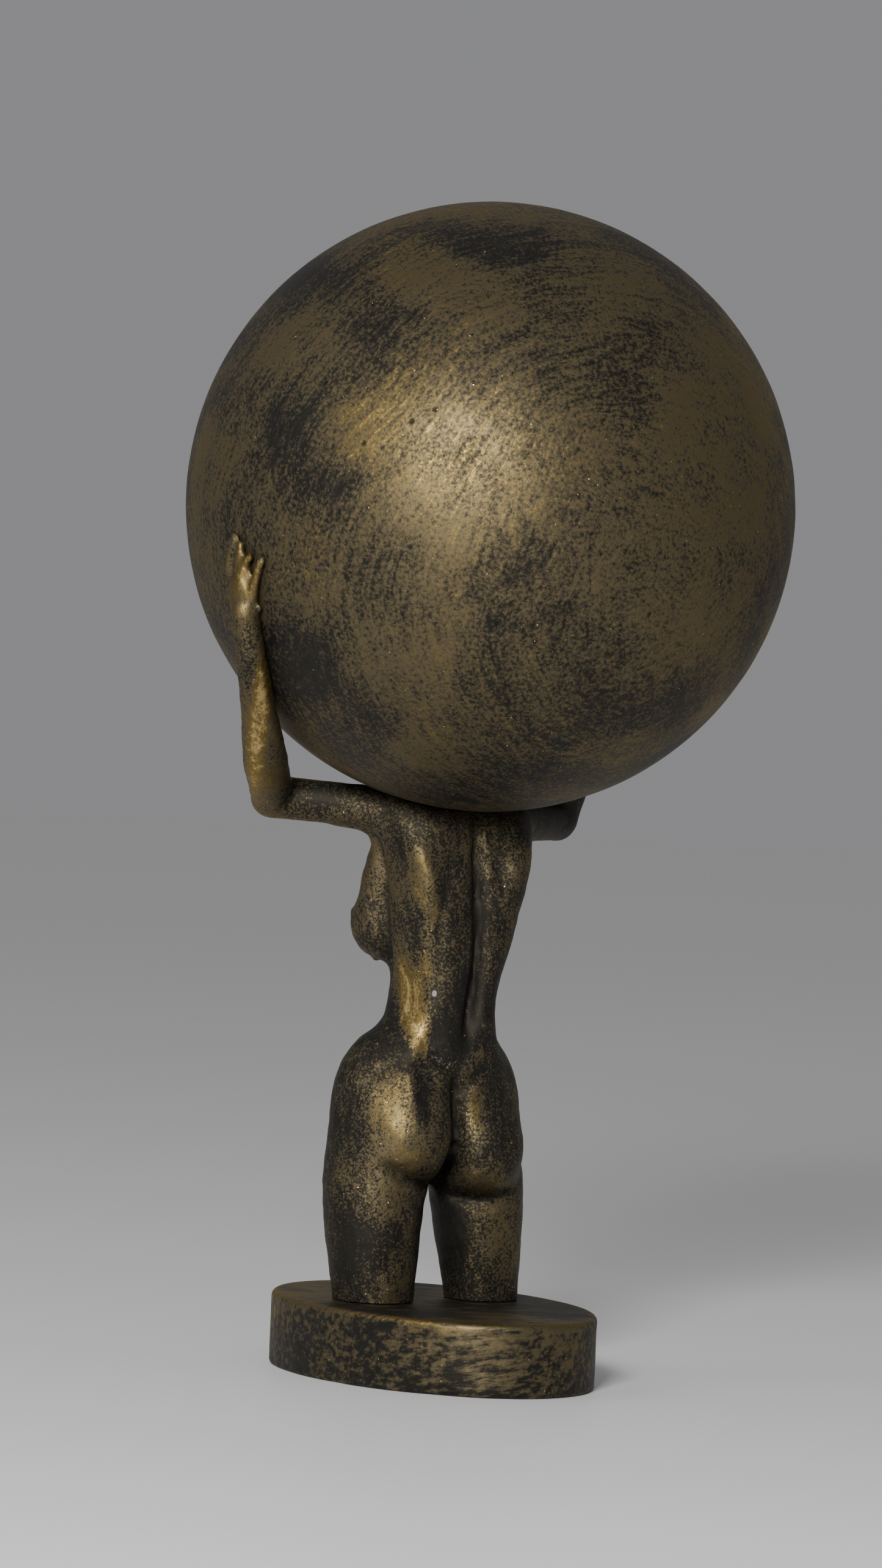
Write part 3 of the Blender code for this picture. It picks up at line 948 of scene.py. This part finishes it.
FINE_STROKES = (
    Stroke(((-1.2, 122.0), (-2.8, 105.0), (-3.9, 88.0), (-3.3, 77.0), (-1.2, 66.0)), 0.8, 0.8),
    Stroke(((0.9, 58.0), (0.6, 50.0), (0.3, 42.0), (-0.2, 33.0), (-0.4, 24.0)), 0.9, 0.9),
    Stroke(((2.0, 29.8), (8.0, 29.2), (14.0, 30.6), (20.0, 34.0)), 0.6, 0.8),
    Stroke(((-2.0, 26.2), (-9.0, 25.4), (-14.0, 26.0), (-19.0, 28.0)), 0.6, 0.8),
    Stroke(((4.4, 112.0), (7.4, 102.0), (8.0, 92.0), (6.6, 82.0)), 0.35, 0.9),
    Stroke(((12.0, 84.0), (11.0, 74.0), (13.5, 66.0)), 0.30, 1.0),
)
DRIPS = (
    Limb((((16.6, -14.0, 95.3), 0.95), ((19.4, -15.6, 96.2), 0.45)), 1, 0.8),
    Limb((((12.0, -11.4, 85.6), 1.20), ((12.4, -11.6, 82.9), 0.60)), 1, 0.8),
)


@dataclass
class Piece:
    """A casting and the way it is painted."""

    sizes: Sizes
    brushwork: Brushwork

    def paint(self, obj: Object, relief: np.ndarray, finish: Material, crease: float | None = None) -> Object:
        """Puts the paint on a finished shape.

        Args:
            obj: The shape.
            relief: How far each vertex stands out from its surroundings, about -1 to 1.
            finish: Its material.
            crease: Angle in degrees over which edges stay sharp, if any do.

        Returns:
            The same object.
        """
        self.brushwork.apply(obj.data, relief)
        obj.data.materials.clear()
        obj.data.materials.append(finish)
        obj.data.shade_smooth()
        if crease is not None:
            obj.data.set_sharp_from_angle(angle=math.radians(crease))
        return obj


@dataclass
class Figure(Piece):
    """The headless figure, at a fine step and with the unevenness of a hand-finished casting."""

    steps: tuple[float, float] = (1.2, 0.68)
    rounds: tuple[int, int] = (4, 3)
    hand_drop: float = -0.345
    hand_radii: Vec3 = (4.6, 2.5, 5.6)
    hand_bearings: Point2 = (6.2, -8.9)
    backing_drop: float = -0.265
    backing_radii: Vec3 = (4.6, 1.1, 6.4)
    unevenness: float = 0.10
    relief_scales: tuple[tuple[int, float], ...] = ((10, 0.00022), (50, 0.00075))
    masses: list[Mass] = field(default_factory=list)
    limbs: list[Limb] = field(default_factory=list)

    def __post_init__(self) -> None:
        """Works out all masses and limbs."""
        self.masses = [*TRUNK, *SEATS, *BREASTS]
        for mass in BACK:
            self.masses.extend(mass.both_sides(SPINE_SHIFT))
        self.masses.extend(self.hand_masses())
        self.limbs = [Limb(stations, 6, blend) for stations, blend in zip(THIGHS, THIGH_BLENDS)]
        self.limbs.append(Limb(NECK, 1, 7.0))
        for index, side in enumerate((1, -1)):
            self.limbs.extend(self.arm(index, side))
        self.limbs.extend(DRIPS)

    def on_globe(self, bearing: float, drop: float, lift: float, side: int) -> Vec3:
        """Point in the figure's units beside the globe.

        Args:
            bearing: Turn from the side towards the back, in degrees.
            drop: Height over the globe's centre, as a share of its radius.
            lift: Distance from the globe's face.
            side: 1 for the figure's left, -1 for its right.

        Returns:
            The point.
        """
        centre = (self.sizes.globe_centre - self.sizes.figure_foot) / self.sizes.unit
        radius = self.sizes.globe_radius / self.sizes.unit
        rise = drop * radius
        ring = math.sqrt((radius + lift) ** 2 - rise * rise)
        angle = math.radians(bearing)
        return (centre.x + side * ring * math.cos(angle), centre.y + ring * math.sin(angle), centre.z + rise)

    def hand_masses(self) -> list[Mass]:
        """Palms and the pads under the fingers."""
        made = []
        for side, bearing in zip((1, -1), self.hand_bearings):
            for drop, radii, lift in ((self.hand_drop, self.hand_radii, 2.0),
                                      (self.backing_drop, self.backing_radii, 0.8)):
                lean = math.degrees(math.asin(drop))
                heading = bearing if side == 1 else 180.0 - bearing
                made.append(Mass(self.on_globe(bearing, drop, lift, side), (radii[1], radii[0], radii[2]),
                                 (0.0, -lean, heading), 1.6))
        return made

    def arm(self, index: int, side: int) -> list[Limb]:
        """Upper arm, forearm and fingers of one side."""
        made = [Limb(UPPER_ARMS[index], 5, 5.0)]
        stations = [UPPER_ARMS[index][-1]]
        for bearing, drop, lift, radius in FOREARMS[index]:
            stations.append((self.on_globe(bearing, drop, lift, side), radius))
        made.append(Limb(tuple(stations), 6, 1.2))
        shift = self.hand_bearings[index] - self.hand_bearings[0]
        for root, root_drop, tip, tip_drop, radius in FINGERS:
            bend, bend_drop = (root + tip) / 2.0, (root_drop + tip_drop) / 2.0
            made.append(Limb((
                (self.on_globe(root + shift, root_drop, radius, side), radius),
                (self.on_globe(bend + shift, bend_drop, radius * 1.3, side), radius * 0.95),
                (self.on_globe(tip + shift, tip_drop, radius * 0.8, side), radius * 0.8),
            ), 2, 0.5))
        return made

    def distance(self, points: np.ndarray) -> np.ndarray:
        """Distance of points to the carved face, in the figure's units."""
        total = np.full(len(points), 1e6)
        margin = 12.0
        for shape in (*self.masses, *self.limbs):
            low, high = shape.reach()
            near = np.all((points > low - margin) & (points < high + margin), axis=1)
            total[near] = merge(total[near], shape.distance(points[near]), shape.blend)
        for stroke in (*STROKES, *FINE_STROKES):
            total = total + stroke.cut(points)
        return total

    def rough(self) -> Object:
        """Overlapping balls and eggs that fill the figure, in its own units."""
        ball = bmesh.new()
        bmesh.ops.create_uvsphere(ball, u_segments=20, v_segments=12, radius=1.0)
        verts = np.array([vert.co[:] for vert in ball.verts])
        faces = [[vert.index for vert in face.verts] for face in ball.faces]
        ball.free()
        places = []
        for mass in self.masses:
            places.append((verts * np.array(mass.radii)) @ mass.spin().T + np.array(mass.centre))
        for limb in self.limbs:
            path = limb.path()
            for start, end in zip(path[:-1], path[1:]):
                count = max(2, int(np.linalg.norm(end[:3] - start[:3]) / (0.35 * start[3])))
                for share in np.linspace(0.0, 1.0, count + 1):
                    station = start + (end - start) * share
                    places.append(verts * station[3] + station[:3])
        mesh = bpy.data.meshes.new("figure_rough")
        joined = [[index + shift * len(verts) for index in face]
                  for shift in range(len(places)) for face in faces]
        mesh.from_pydata(np.concatenate(places).tolist(), [], joined)
        return link_object("carved_figure", mesh)

    def settle(self, obj: Object, rounds: int) -> None:
        """Moves the vertices of the object onto the carved face.

        Args:
            obj: Object in the figure's units.
            rounds: How often to move them.
        """
        points = read_points(obj.data)
        step = 0.05
        for _ in range(rounds):
            here = self.distance(points)
            slope = np.stack([(self.distance(points + nudge) - here) / step
                              for nudge in np.eye(3) * step], axis=1)
            size = np.maximum((slope ** 2).sum(axis=1), 0.2)
            points = points - np.clip(here, -1.5, 1.5)[:, None] * slope / size[:, None]
        write_points(obj.data, points)

    def roughen(self, mesh: Mesh) -> None:
        """Adds the slight unevenness of the hand-finished face, in the figure's units."""
        points = read_points(mesh)
        points = even_out(mesh, points, 2)
        push = uneven(points, (9.0, 3.6), (0.6, 0.4), 11)
        write_points(mesh, points + read_normals(mesh) * (self.unevenness * push)[:, None])

    def relief(self, mesh: Mesh) -> np.ndarray:
        """How far each vertex stands out from the face around it, about -1 to 1."""
        points = read_points(mesh)
        normals = read_normals(mesh)
        total = np.zeros(len(points))
        for rounds, scale in self.relief_scales:
            offset = ((points - even_out(mesh, points, rounds)) * normals).sum(axis=1)
            total += 0.5 * np.clip(offset / scale, -1.0, 1.0)
        return total

    def build(self, finish: Material) -> Object:
        """Makes the figure, cut flat on the plinth and hollowed where the globe rests in it.

        Args:
            finish: Its material.

        Returns:
            The figure's object.
        """
        obj = self.rough()
        for step, rounds in zip(self.steps, self.rounds):
            remesh(obj, step)
            self.settle(obj, rounds)
        self.roughen(obj.data)
        obj.data.transform(Matrix.Translation(self.sizes.figure_foot) @ Matrix.Scale(self.sizes.unit, 4))
        subtract(obj, self.globe_hollow())
        subtract(obj, self.plinth_slab())
        return self.paint(obj, self.relief(obj.data), finish, 50.0)

    def globe_hollow(self) -> Object:
        """Ball a little larger than the globe, to cut the hollow it rests in."""
        mesh = new_mesh("hollow", bmesh.ops.create_uvsphere, u_segments=96, v_segments=64,
                        radius=self.sizes.globe_radius + self.sizes.joint_gap)
        mesh.transform(Matrix.Translation(self.sizes.globe_centre))
        return link_object("hollow", mesh)

    def plinth_slab(self) -> Object:
        """Block that fills the space under the figure, to cut it flat."""
        side = self.sizes.plinth_length
        mesh = new_mesh("slab", bmesh.ops.create_cube, size=side)
        drop = Vector((0.0, 0.0, self.sizes.joint_gap - side / 2.0))
        mesh.transform(Matrix.Translation(self.sizes.figure_foot + drop))
        return link_object("slab", mesh)


# ---------------------------------------------------------------- globe and plinth


@dataclass
class Globe(Piece):
    """The globe, with the slight unevenness of a hand-painted casting."""

    subdivisions: int = 7
    unevenness: float = 0.00005

    def build(self, finish: Material) -> Object:
        """Makes the globe.

        Args:
            finish: Its material.

        Returns:
            The globe's object.
        """
        mesh = new_mesh("painted_globe", bmesh.ops.create_icosphere, subdivisions=self.subdivisions,
                        radius=self.sizes.globe_radius)
        points = read_points(mesh)
        out = points / np.linalg.norm(points, axis=1)[:, None]
        push = uneven(points, (0.030, 0.009), (0.6, 0.4), 21) - 1.4
        write_points(mesh, points + out * (self.unevenness * np.minimum(push, 0.0))[:, None])
        mesh.transform(Matrix.Translation(self.sizes.globe_centre))
        return self.paint(link_object("painted_globe", mesh), np.zeros(len(points)), finish)


@dataclass
class Plinth(Piece):
    """The oval plinth, with worn edges and a rough rim underneath."""

    segments: int = 360
    rows: int = 22
    rings: int = 16
    wear: float = 0.00010
    chips: tuple[Vec3, ...] = ((62.0, 9.0, 0.0011), (80.0, 3.0, 0.0004), (22.0, 4.0, 0.0004),
                               (140.0, 6.0, 0.0005), (215.0, 5.0, 0.0005), (300.0, 7.0, 0.0006))

    def profile(self) -> list[tuple[float, float]]:
        """Inset and height of each ring, from the middle of the underside to the middle of the top."""
        top, edge = self.sizes.plinth_height, self.sizes.plinth_top_edge
        half = self.sizes.plinth_width / 2.0
        made = [(half * (1.0 - share), 0.0) for share in np.linspace(0.05, 0.96, self.rings)]
        made += [(0.0006, 0.0), (0.0002, 0.0002), (0.0, 0.0006)]
        made += [(0.0, height) for height in np.linspace(0.0012, top - edge, self.rows)]
        for share in (0.25, 0.5, 0.75, 1.0):
            angle = share * math.pi / 2.0
            made.append((edge * (1.0 - math.cos(angle)), top - edge * (1.0 - math.sin(angle))))
        made += [(half * (1.0 - share), top) for share in np.linspace(0.95, 0.05, self.rings)]
        return made

    def build(self, finish: Material) -> Object:
        """Makes the plinth.

        Args:
            finish: Its material.

        Returns:
            The plinth's object.
        """
        half_width, half_length = self.sizes.plinth_width / 2.0, self.sizes.plinth_length / 2.0
        angles = np.linspace(0.0, 2.0 * math.pi, self.segments, endpoint=False)
        points = []
        for inset, height in self.profile():
            share = 1.0 - inset / half_width
            reach = min(share * half_length, half_length - inset) if share > 0.9 else share * half_length
            points.append(np.stack((share * half_width * np.cos(angles), reach * np.sin(angles),
                                    np.full(self.segments, height)), axis=1))
        count = len(points)
        points = np.concatenate(points)
        faces = [[row * self.segments + step, row * self.segments + (step + 1) % self.segments,
                  (row + 1) * self.segments + (step + 1) % self.segments, (row + 1) * self.segments + step]
                 for row in range(count - 1) for step in range(self.segments)]
        faces.append(list(reversed(range(self.segments))))
        faces.append(list(range((count - 1) * self.segments, count * self.segments)))
        points = self.worn(points)
        mesh = bpy.data.meshes.new("worn_plinth")
        mesh.from_pydata(points.tolist(), [], faces)
        mesh.transform(Matrix.Translation(self.sizes.plinth_middle))
        return self.paint(link_object("worn_plinth", mesh), self.rim_relief(mesh), finish, 40.0)

    def reach(self, points: np.ndarray) -> np.ndarray:
        """How far out from the plinth's middle points lie; its side is at 1."""
        width, length = self.sizes.plinth_width, self.sizes.plinth_length
        return np.hypot(points[:, 0] / width, points[:, 1] / length) * 2.0

    def worn(self, points: np.ndarray) -> np.ndarray:
        """Points of the plinth with its side uneven and chips out of its lower rim."""
        height = self.sizes.plinth_height
        out = points * np.array((1.0, 1.0, 0.0))
        out /= np.maximum(np.linalg.norm(out, axis=1), 1e-6)[:, None]
        rim = np.clip((self.reach(points) - 0.9) / 0.1, 0.0, 1.0)
        push = np.minimum(uneven(points, (0.022, 0.006), (0.6, 0.5), 31) - 1.3, 0.0)
        bearing = np.degrees(np.arctan2(points[:, 1], points[:, 0]))
        low = np.clip(1.0 - points[:, 2] / (0.22 * height), 0.0, 1.0)
        chip = np.zeros(len(points))
        for middle, wide, deep in self.chips:
            apart = np.abs((bearing - middle + 180.0) % 360.0 - 180.0)
            chip += deep * np.exp(-(apart / wide) ** 2)
        return points + out * (rim * (self.wear * push - chip * low ** 1.5))[:, None]

    def rim_relief(self, mesh: Mesh) -> np.ndarray:
        """1 along the top edge, where the brush caught it, and 0 away from it."""
        points = read_points(mesh) - np.array(self.sizes.plinth_middle)
        near = np.hypot((self.reach(points) - 0.985) * self.sizes.plinth_width / 2.0,
                        points[:, 2] - self.sizes.plinth_height)
        return np.exp(-(near / 0.0011) ** 2)


# ---------------------------------------------------------------- strewn pieces


@dataclass
class Strewn:
    """Small chips strewn over a face, made by a Geometry Nodes tree with named sizes."""

    name: str
    density: float
    seed: int
    chip_size: float = 0.00023
    flatness: float = 0.18
    tilt: float = 0.5
    sink: float = -0.00004
    clear_of_ground: float = 0.0008
    grades: Point2 = (0.5, 1.25)

    def tree(self) -> NodeTree:
        """Builds the tree.

        Returns:
            The Geometry Nodes tree.
        """
        tree = bpy.data.node_groups.new(f"{self.name}_tree", "GeometryNodeTree")
        face = tree.interface
        for kind, names in (("Geometry", ("Geometry",)), ("Material", ("Finish",)), ("Int", ("Seed",)),
                            ("Float", ("Chip Size", "Density", "Flatness", "Tilt", "Sink"))):
            for name in names:
                face.new_socket(name, in_out="INPUT", socket_type=f"NodeSocket{kind}")
        face.new_socket("Geometry", in_out="OUTPUT", socket_type="NodeSocketGeometry")
        make = NodeMaker(tree)
        take = make.add("NodeGroupInput").outputs
        cover = make.add("GeometryNodeInputNamedAttribute", {"Name": "cover"}, data_type="FLOAT").outputs[0]
        gilded = make.add("ShaderNodeMapRange", {"Value": cover, "From Min": 0.2, "From Max": 0.9,
                                                 "To Min": 0.25, "To Max": 1.6}).outputs[0]
        where = make.add("GeometryNodeInputPosition").outputs[0]
        rise = make.add("ShaderNodeSeparateXYZ", {0: where}).outputs["Z"]
        clear = make.math("GREATER_THAN", rise, self.clear_of_ground)
        density = make.math("MULTIPLY", make.math("MULTIPLY", take["Density"], gilded), clear)
        spread = make.add("GeometryNodeDistributePointsOnFaces", {
            "Mesh": take["Geometry"], "Density": density, "Seed": take["Seed"]})
        drop = make.vector("SCALE", {0: spread.outputs["Normal"], "Scale": take["Sink"]})
        placed = make.add("GeometryNodeSetPosition", {"Geometry": spread.outputs["Points"], "Offset": drop})
        chip = make.add("GeometryNodeMeshIcoSphere", {"Radius": take["Chip Size"], "Subdivisions": 1})
        shape = make.add("ShaderNodeCombineXYZ", {"X": 1.0, "Y": 0.8, "Z": take["Flatness"]})
        flat = make.add("GeometryNodeTransform", {
            "Geometry": chip.outputs["Mesh"], "Scale": shape.outputs[0]})
        low = make.math("MULTIPLY", take["Tilt"], -1.0)
        lean = make.add("FunctionNodeRandomValue", {0: low, 1: take["Tilt"], "Seed": take["Seed"]},
                        data_type="FLOAT_VECTOR")
        turn = make.add("FunctionNodeRotateRotation", {
            "Rotation": spread.outputs["Rotation"], 1: lean.outputs[0]}, rotation_space="LOCAL")
        smallest, largest = self.grades
        grade = make.add("FunctionNodeRandomValue", {2: smallest, 3: largest, "Seed": take["Seed"]},
                         data_type="FLOAT")
        laid = make.add("GeometryNodeInstanceOnPoints", {
            "Points": placed.outputs[0], "Instance": flat.outputs[0], "Rotation": turn.outputs[0],
            "Scale": grade.outputs[1]})
        real = make.add("GeometryNodeRealizeInstances", {"Geometry": laid.outputs[0]})
        dressed = make.add("GeometryNodeSetMaterial", {
            "Geometry": real.outputs[0], "Material": take["Finish"]})
        make.add("NodeGroupOutput", {0: dressed.outputs[0]})
        return tree

    def build(self, ground: Mesh, finish: Material) -> Object:
        """Strews the chips over a mesh.

        Args:
            ground: Mesh to strew them over; it carries the attribute cover.
            finish: The chips' material.

        Returns:
            An object that holds all the chips as a plain mesh.
        """
        obj = link_object(self.name, ground.copy())
        modifier = obj.modifiers.new("strewn", "NODES")
        tree = self.tree()
        modifier.node_group = tree
        values = {"Chip Size": self.chip_size, "Density": self.density, "Flatness": self.flatness,
                  "Tilt": self.tilt, "Sink": self.sink, "Seed": self.seed, "Finish": finish}
        for item in tree.interface.items_tree:
            if item.in_out == "INPUT" and item.name in values:
                modifier[item.identifier] = values[item.name]
        bake_modifiers(obj)
        return obj


# ---------------------------------------------------------------- stage


@dataclass(frozen=True)
class Stage:
    """Pale floor and soft studio light."""

    camera: PhotoCamera
    floor_radius: float = 6.0
    floor_colour: Vec3 = (0.84, 0.84, 0.84)
    sky: float = 0.29
    backdrop: float = 0.258
    light_aim: Vec3 = (0.0, 0.0, 0.2)
    lights: tuple[tuple[str, float, float, float, float, float], ...] = (
        ("key", -12.0, 18.5, 1.3, 0.30, 19.5), ("fill", -70.0, 30.0, 1.8, 0.8, 3.5))

    def floor(self) -> Object:
        """Makes the floor."""
        mesh = new_mesh("floor", bmesh.ops.create_circle, cap_ends=True, segments=96,
                        radius=self.floor_radius)
        mesh.materials.append(PlainFinish("floor_finish", self.floor_colour, 0.45).build())
        obj = link_object("floor", mesh)
        obj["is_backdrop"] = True
        return obj

    def light(self, name: str, bearing: float, rise: float, reach: float, size: float, power: float) -> None:
        """Adds a soft square light that faces the globe.

        Args:
            name: The light's name.
            bearing: Turn from the camera's direction towards its right, in degrees.
            rise: Height over the level, in degrees.
            reach: Distance from the globe.
            size: Side of the light.
            power: Its power in watts.
        """
        turn = math.radians(self.camera.azimuth + bearing)
        lift = math.radians(rise)
        toward = Vector((math.sin(turn) * math.cos(lift), -math.cos(turn) * math.cos(lift), math.sin(lift)))
        data = bpy.data.lights.new(name, "AREA")
        data.shape = "SQUARE"
        data.size = size
        data.energy = power
        lamp = bpy.data.objects.new(name, data)
        facing = toward.to_track_quat("Z", "Y").to_matrix().to_4x4()
        lamp.matrix_world = Matrix.Translation(Vector(self.light_aim) + toward * reach) @ facing
        bpy.context.scene.collection.objects.link(lamp)

    def world(self) -> None:
        """Even light from all round, with a darker grey behind the statue."""
        world = bpy.data.worlds.new("studio")
        world.use_nodes = True
        bpy.context.scene.world = world
        tree = world.node_tree
        make = NodeMaker(tree)
        around = tree.nodes["Background"]
        behind = make.add("ShaderNodeBackground")
        for node, grey, cool in ((around, self.sky, 1.02), (behind, self.backdrop, 1.03)):
            node.inputs["Color"].default_value = (grey, grey, grey * cool, 1.0)
        path = make.add("ShaderNodeLightPath")
        both = make.add("ShaderNodeMixShader", {0: path.outputs["Is Camera Ray"], 1: around.outputs[0],
                                                2: behind.outputs[0]})
        tree.links.new(both.outputs[0], tree.nodes["World Output"].inputs["Surface"])

    def build(self) -> None:
        """Makes the floor, the lights and the surroundings."""
        self.floor()
        self.world()
        for row in self.lights:
            self.light(*row)


# ---------------------------------------------------------------- brushwork tables

def dabs(*rows: tuple[float, ...]) -> tuple[Dab, ...]:
    """Dabs from rows of across, down, wide, tall, gain and, where it isn't 0, turn."""
    return tuple(Dab(*row) for row in rows)


GLOBE_DABS = dabs(
    # The first three dabs lie on the key light's highlight: their extra gold, and the pale gold it brings, is
    # partly painted highlight.
    (720, 750, 175, 120, 0.36), (595, 690, 95, 60, 0.26, 40), (690, 600, 90, 60, 0.14, 20),
    (512, 915, 62, 78, 0.26, 10), (745, 950, 95, 95, 0.08), (750, 1120, 150, 70, 0.10, 10),
    (665, 430, 72, 62, 0.26), (775, 520, 80, 60, 0.12), (820, 345, 190, 16, 0.20),
    (475, 595, 50, 45, 0.10, 30), (1150, 760, 90, 200, 0.10), (960, 700, 70, 120, 0.08),
    (480, 690, 60, 80, -0.46, 30), (540, 788, 62, 30, -0.46), (618, 950, 58, 60, -0.42),
    (487, 1080, 80, 88, -0.70, 30), (600, 1195, 62, 62, -0.45, -30), (500, 465, 60, 45, -0.35, 40),
    (620, 525, 66, 48, -0.25, 20), (835, 405, 85, 42, -0.35), (1085, 540, 65, 85, -0.28),
    (880, 1010, 130, 22, -0.25, 14), (760, 1275, 210, 48, -0.22), (390, 860, 42, 150, -0.25, -8),
    (1010, 1150, 130, 90, -0.15, 30),
)
FIGURE_DABS = dabs(
    # The dabs with a gain over 1, on the waist and the forearm, bring out the bright highlight gold: painted
    # highlights on top of their gold paint.
    (690, 1432, 20, 48, 0.42), (710, 1506, 20, 38, 0.35), (698, 1587, 16, 42, 0.60),
    (675, 1650, 24, 84, 1.35, 14), (645, 1815, 46, 62, 0.60), (576, 1831, 26, 62, -0.18),
    (690, 1807, 15, 36, -0.50), (665, 1897, 45, 20, 0.30), (625, 1962, 36, 42, 0.28),
    (568, 2043, 22, 62, -0.40), (641, 2108, 26, 32, 0.22), (780, 1823, 15, 40, 0.50),
    (796, 1929, 42, 15, 0.25), (739, 2010, 24, 64, -0.70), (820, 2002, 22, 62, 0.18),
    (424, 1180, 16, 120, 1.30, -6), (400, 940, 26, 60, 0.70), (440, 1280, 26, 30, 0.50),
    (655, 1335, 50, 22, -0.20, 10), (650, 1400, 16, 50, -0.25), (760, 1640, 30, 90, -0.25),
    (520, 1305, 80, 30, -0.35), (640, 1600, 18, 80, -0.30), (800, 1500, 30, 110, -0.25),
    # The dark dab at 900, 1345 darkens the far arm under the globe: partly painted shade of the globe's
    # shadow, partly darker paint.
    (610, 2040, 40, 60, -0.20), (735, 1700, 25, 40, -0.30), (900, 1345, 75, 45, -0.50),
    (790, 1400, 30, 60, 0.12),
)
FIGURE_SOIL = dabs(
    (733, 1326, 10, 7, 0.8), (728, 1738, 26, 14, 0.55, -30), (711, 1627, 6, 6, 1.6),
)
PLINTH_DABS = dabs(
    (690, 2172, 150, 12, 0.32, -9), (660, 2215, 60, 38, 0.26, 40), (870, 2225, 110, 45, 0.10),
    (470, 2220, 80, 70, -0.45), (650, 2130, 200, 20, -0.20, -5), (780, 2235, 40, 50, -0.15),
)
PLINTH_SOIL = dabs(
    (660, 2137, 30, 5, 0.45), (790, 2134, 45, 5, 0.60, -4), (575, 2130, 20, 4, 0.45),
)


# ---------------------------------------------------------------- all of it


@dataclass
class Statue:
    """The whole statue, piece by piece."""

    sizes: Sizes
    camera: PhotoCamera
    effects: SharedEffects

    def hand_over(self, obj: Object, node: str | None = None) -> None:
        """Attaches a piece to the root body and hides the solid that it stands for.

        Args:
            obj: The piece.
            node: The solid that it stands for, if any.
        """
        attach(obj, "root")
        if node:
            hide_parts(node)
        LOG.info("%s: %d faces", obj.name, len(obj.data.polygons))

    def build(self) -> None:
        """Makes every piece of the statue."""
        flake = PlainFinish("flake_finish", (0.72, 0.50, 0.21), 0.32, 1.0).build()
        globe_paint = PaintFinish("globe_paint", streak_share=0.32, softness=0.72)
        figure_paint = PaintFinish("figure_paint", streak_share=0.25, grain=1600.0, softness=0.42)
        plinth_paint = PaintFinish("plinth_paint", streak_share=0.75)
        across, up, back = self.camera.axes()
        rings = BrushWay(tuple(back + 0.55 * across - 0.45 * up), tuple(self.sizes.globe_centre))
        upright = BrushWay((0.15, -0.1, 1.0), stretch=0.25)
        slanting = BrushWay((-0.87, 0.5, 0.12))
        globe = Globe(self.sizes, Brushwork(self.camera, rings, 0.36, GLOBE_DABS, seed=5))
        figure = Figure(self.sizes, Brushwork(self.camera, upright, 0.18, FIGURE_DABS, FIGURE_SOIL,
                                              ridge_gain=0.26, seed=6))
        plinth = Plinth(self.sizes, Brushwork(self.camera, slanting, 0.20, PLINTH_DABS, PLINTH_SOIL,
                                              ridge_gain=0.60, seed=9))
        for name, shape, paint, per_mm2, seed in (("globe", globe, globe_paint, 0.036, 7),
                                                  ("figure", figure, figure_paint, 0.055, 8),
                                                  ("plinth", plinth, plinth_paint, 0.034, 10)):
            made = shape.build(paint.build(self.effects))
            self.hand_over(made, name)
            flakes = Strewn(f"{name}_flakes", per_mm2 * 1e6, seed).build(made.data, flake)
            self.hand_over(flakes)


def main() -> dict[str, object]:
    """Builds the statue and its stage.

    Returns:
        The box of the solids, before anything is added.
    """
    logging.basicConfig(level=logging.INFO, format="%(name)s: %(message)s")
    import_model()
    solid_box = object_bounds()
    sizes = Sizes()
    camera = PhotoCamera()
    camera.build()
    Statue(sizes, camera, SharedEffects()).build()
    Stage(camera).build()
    return solid_box


if __name__ == "__main__":
    CAD_BOX = main()
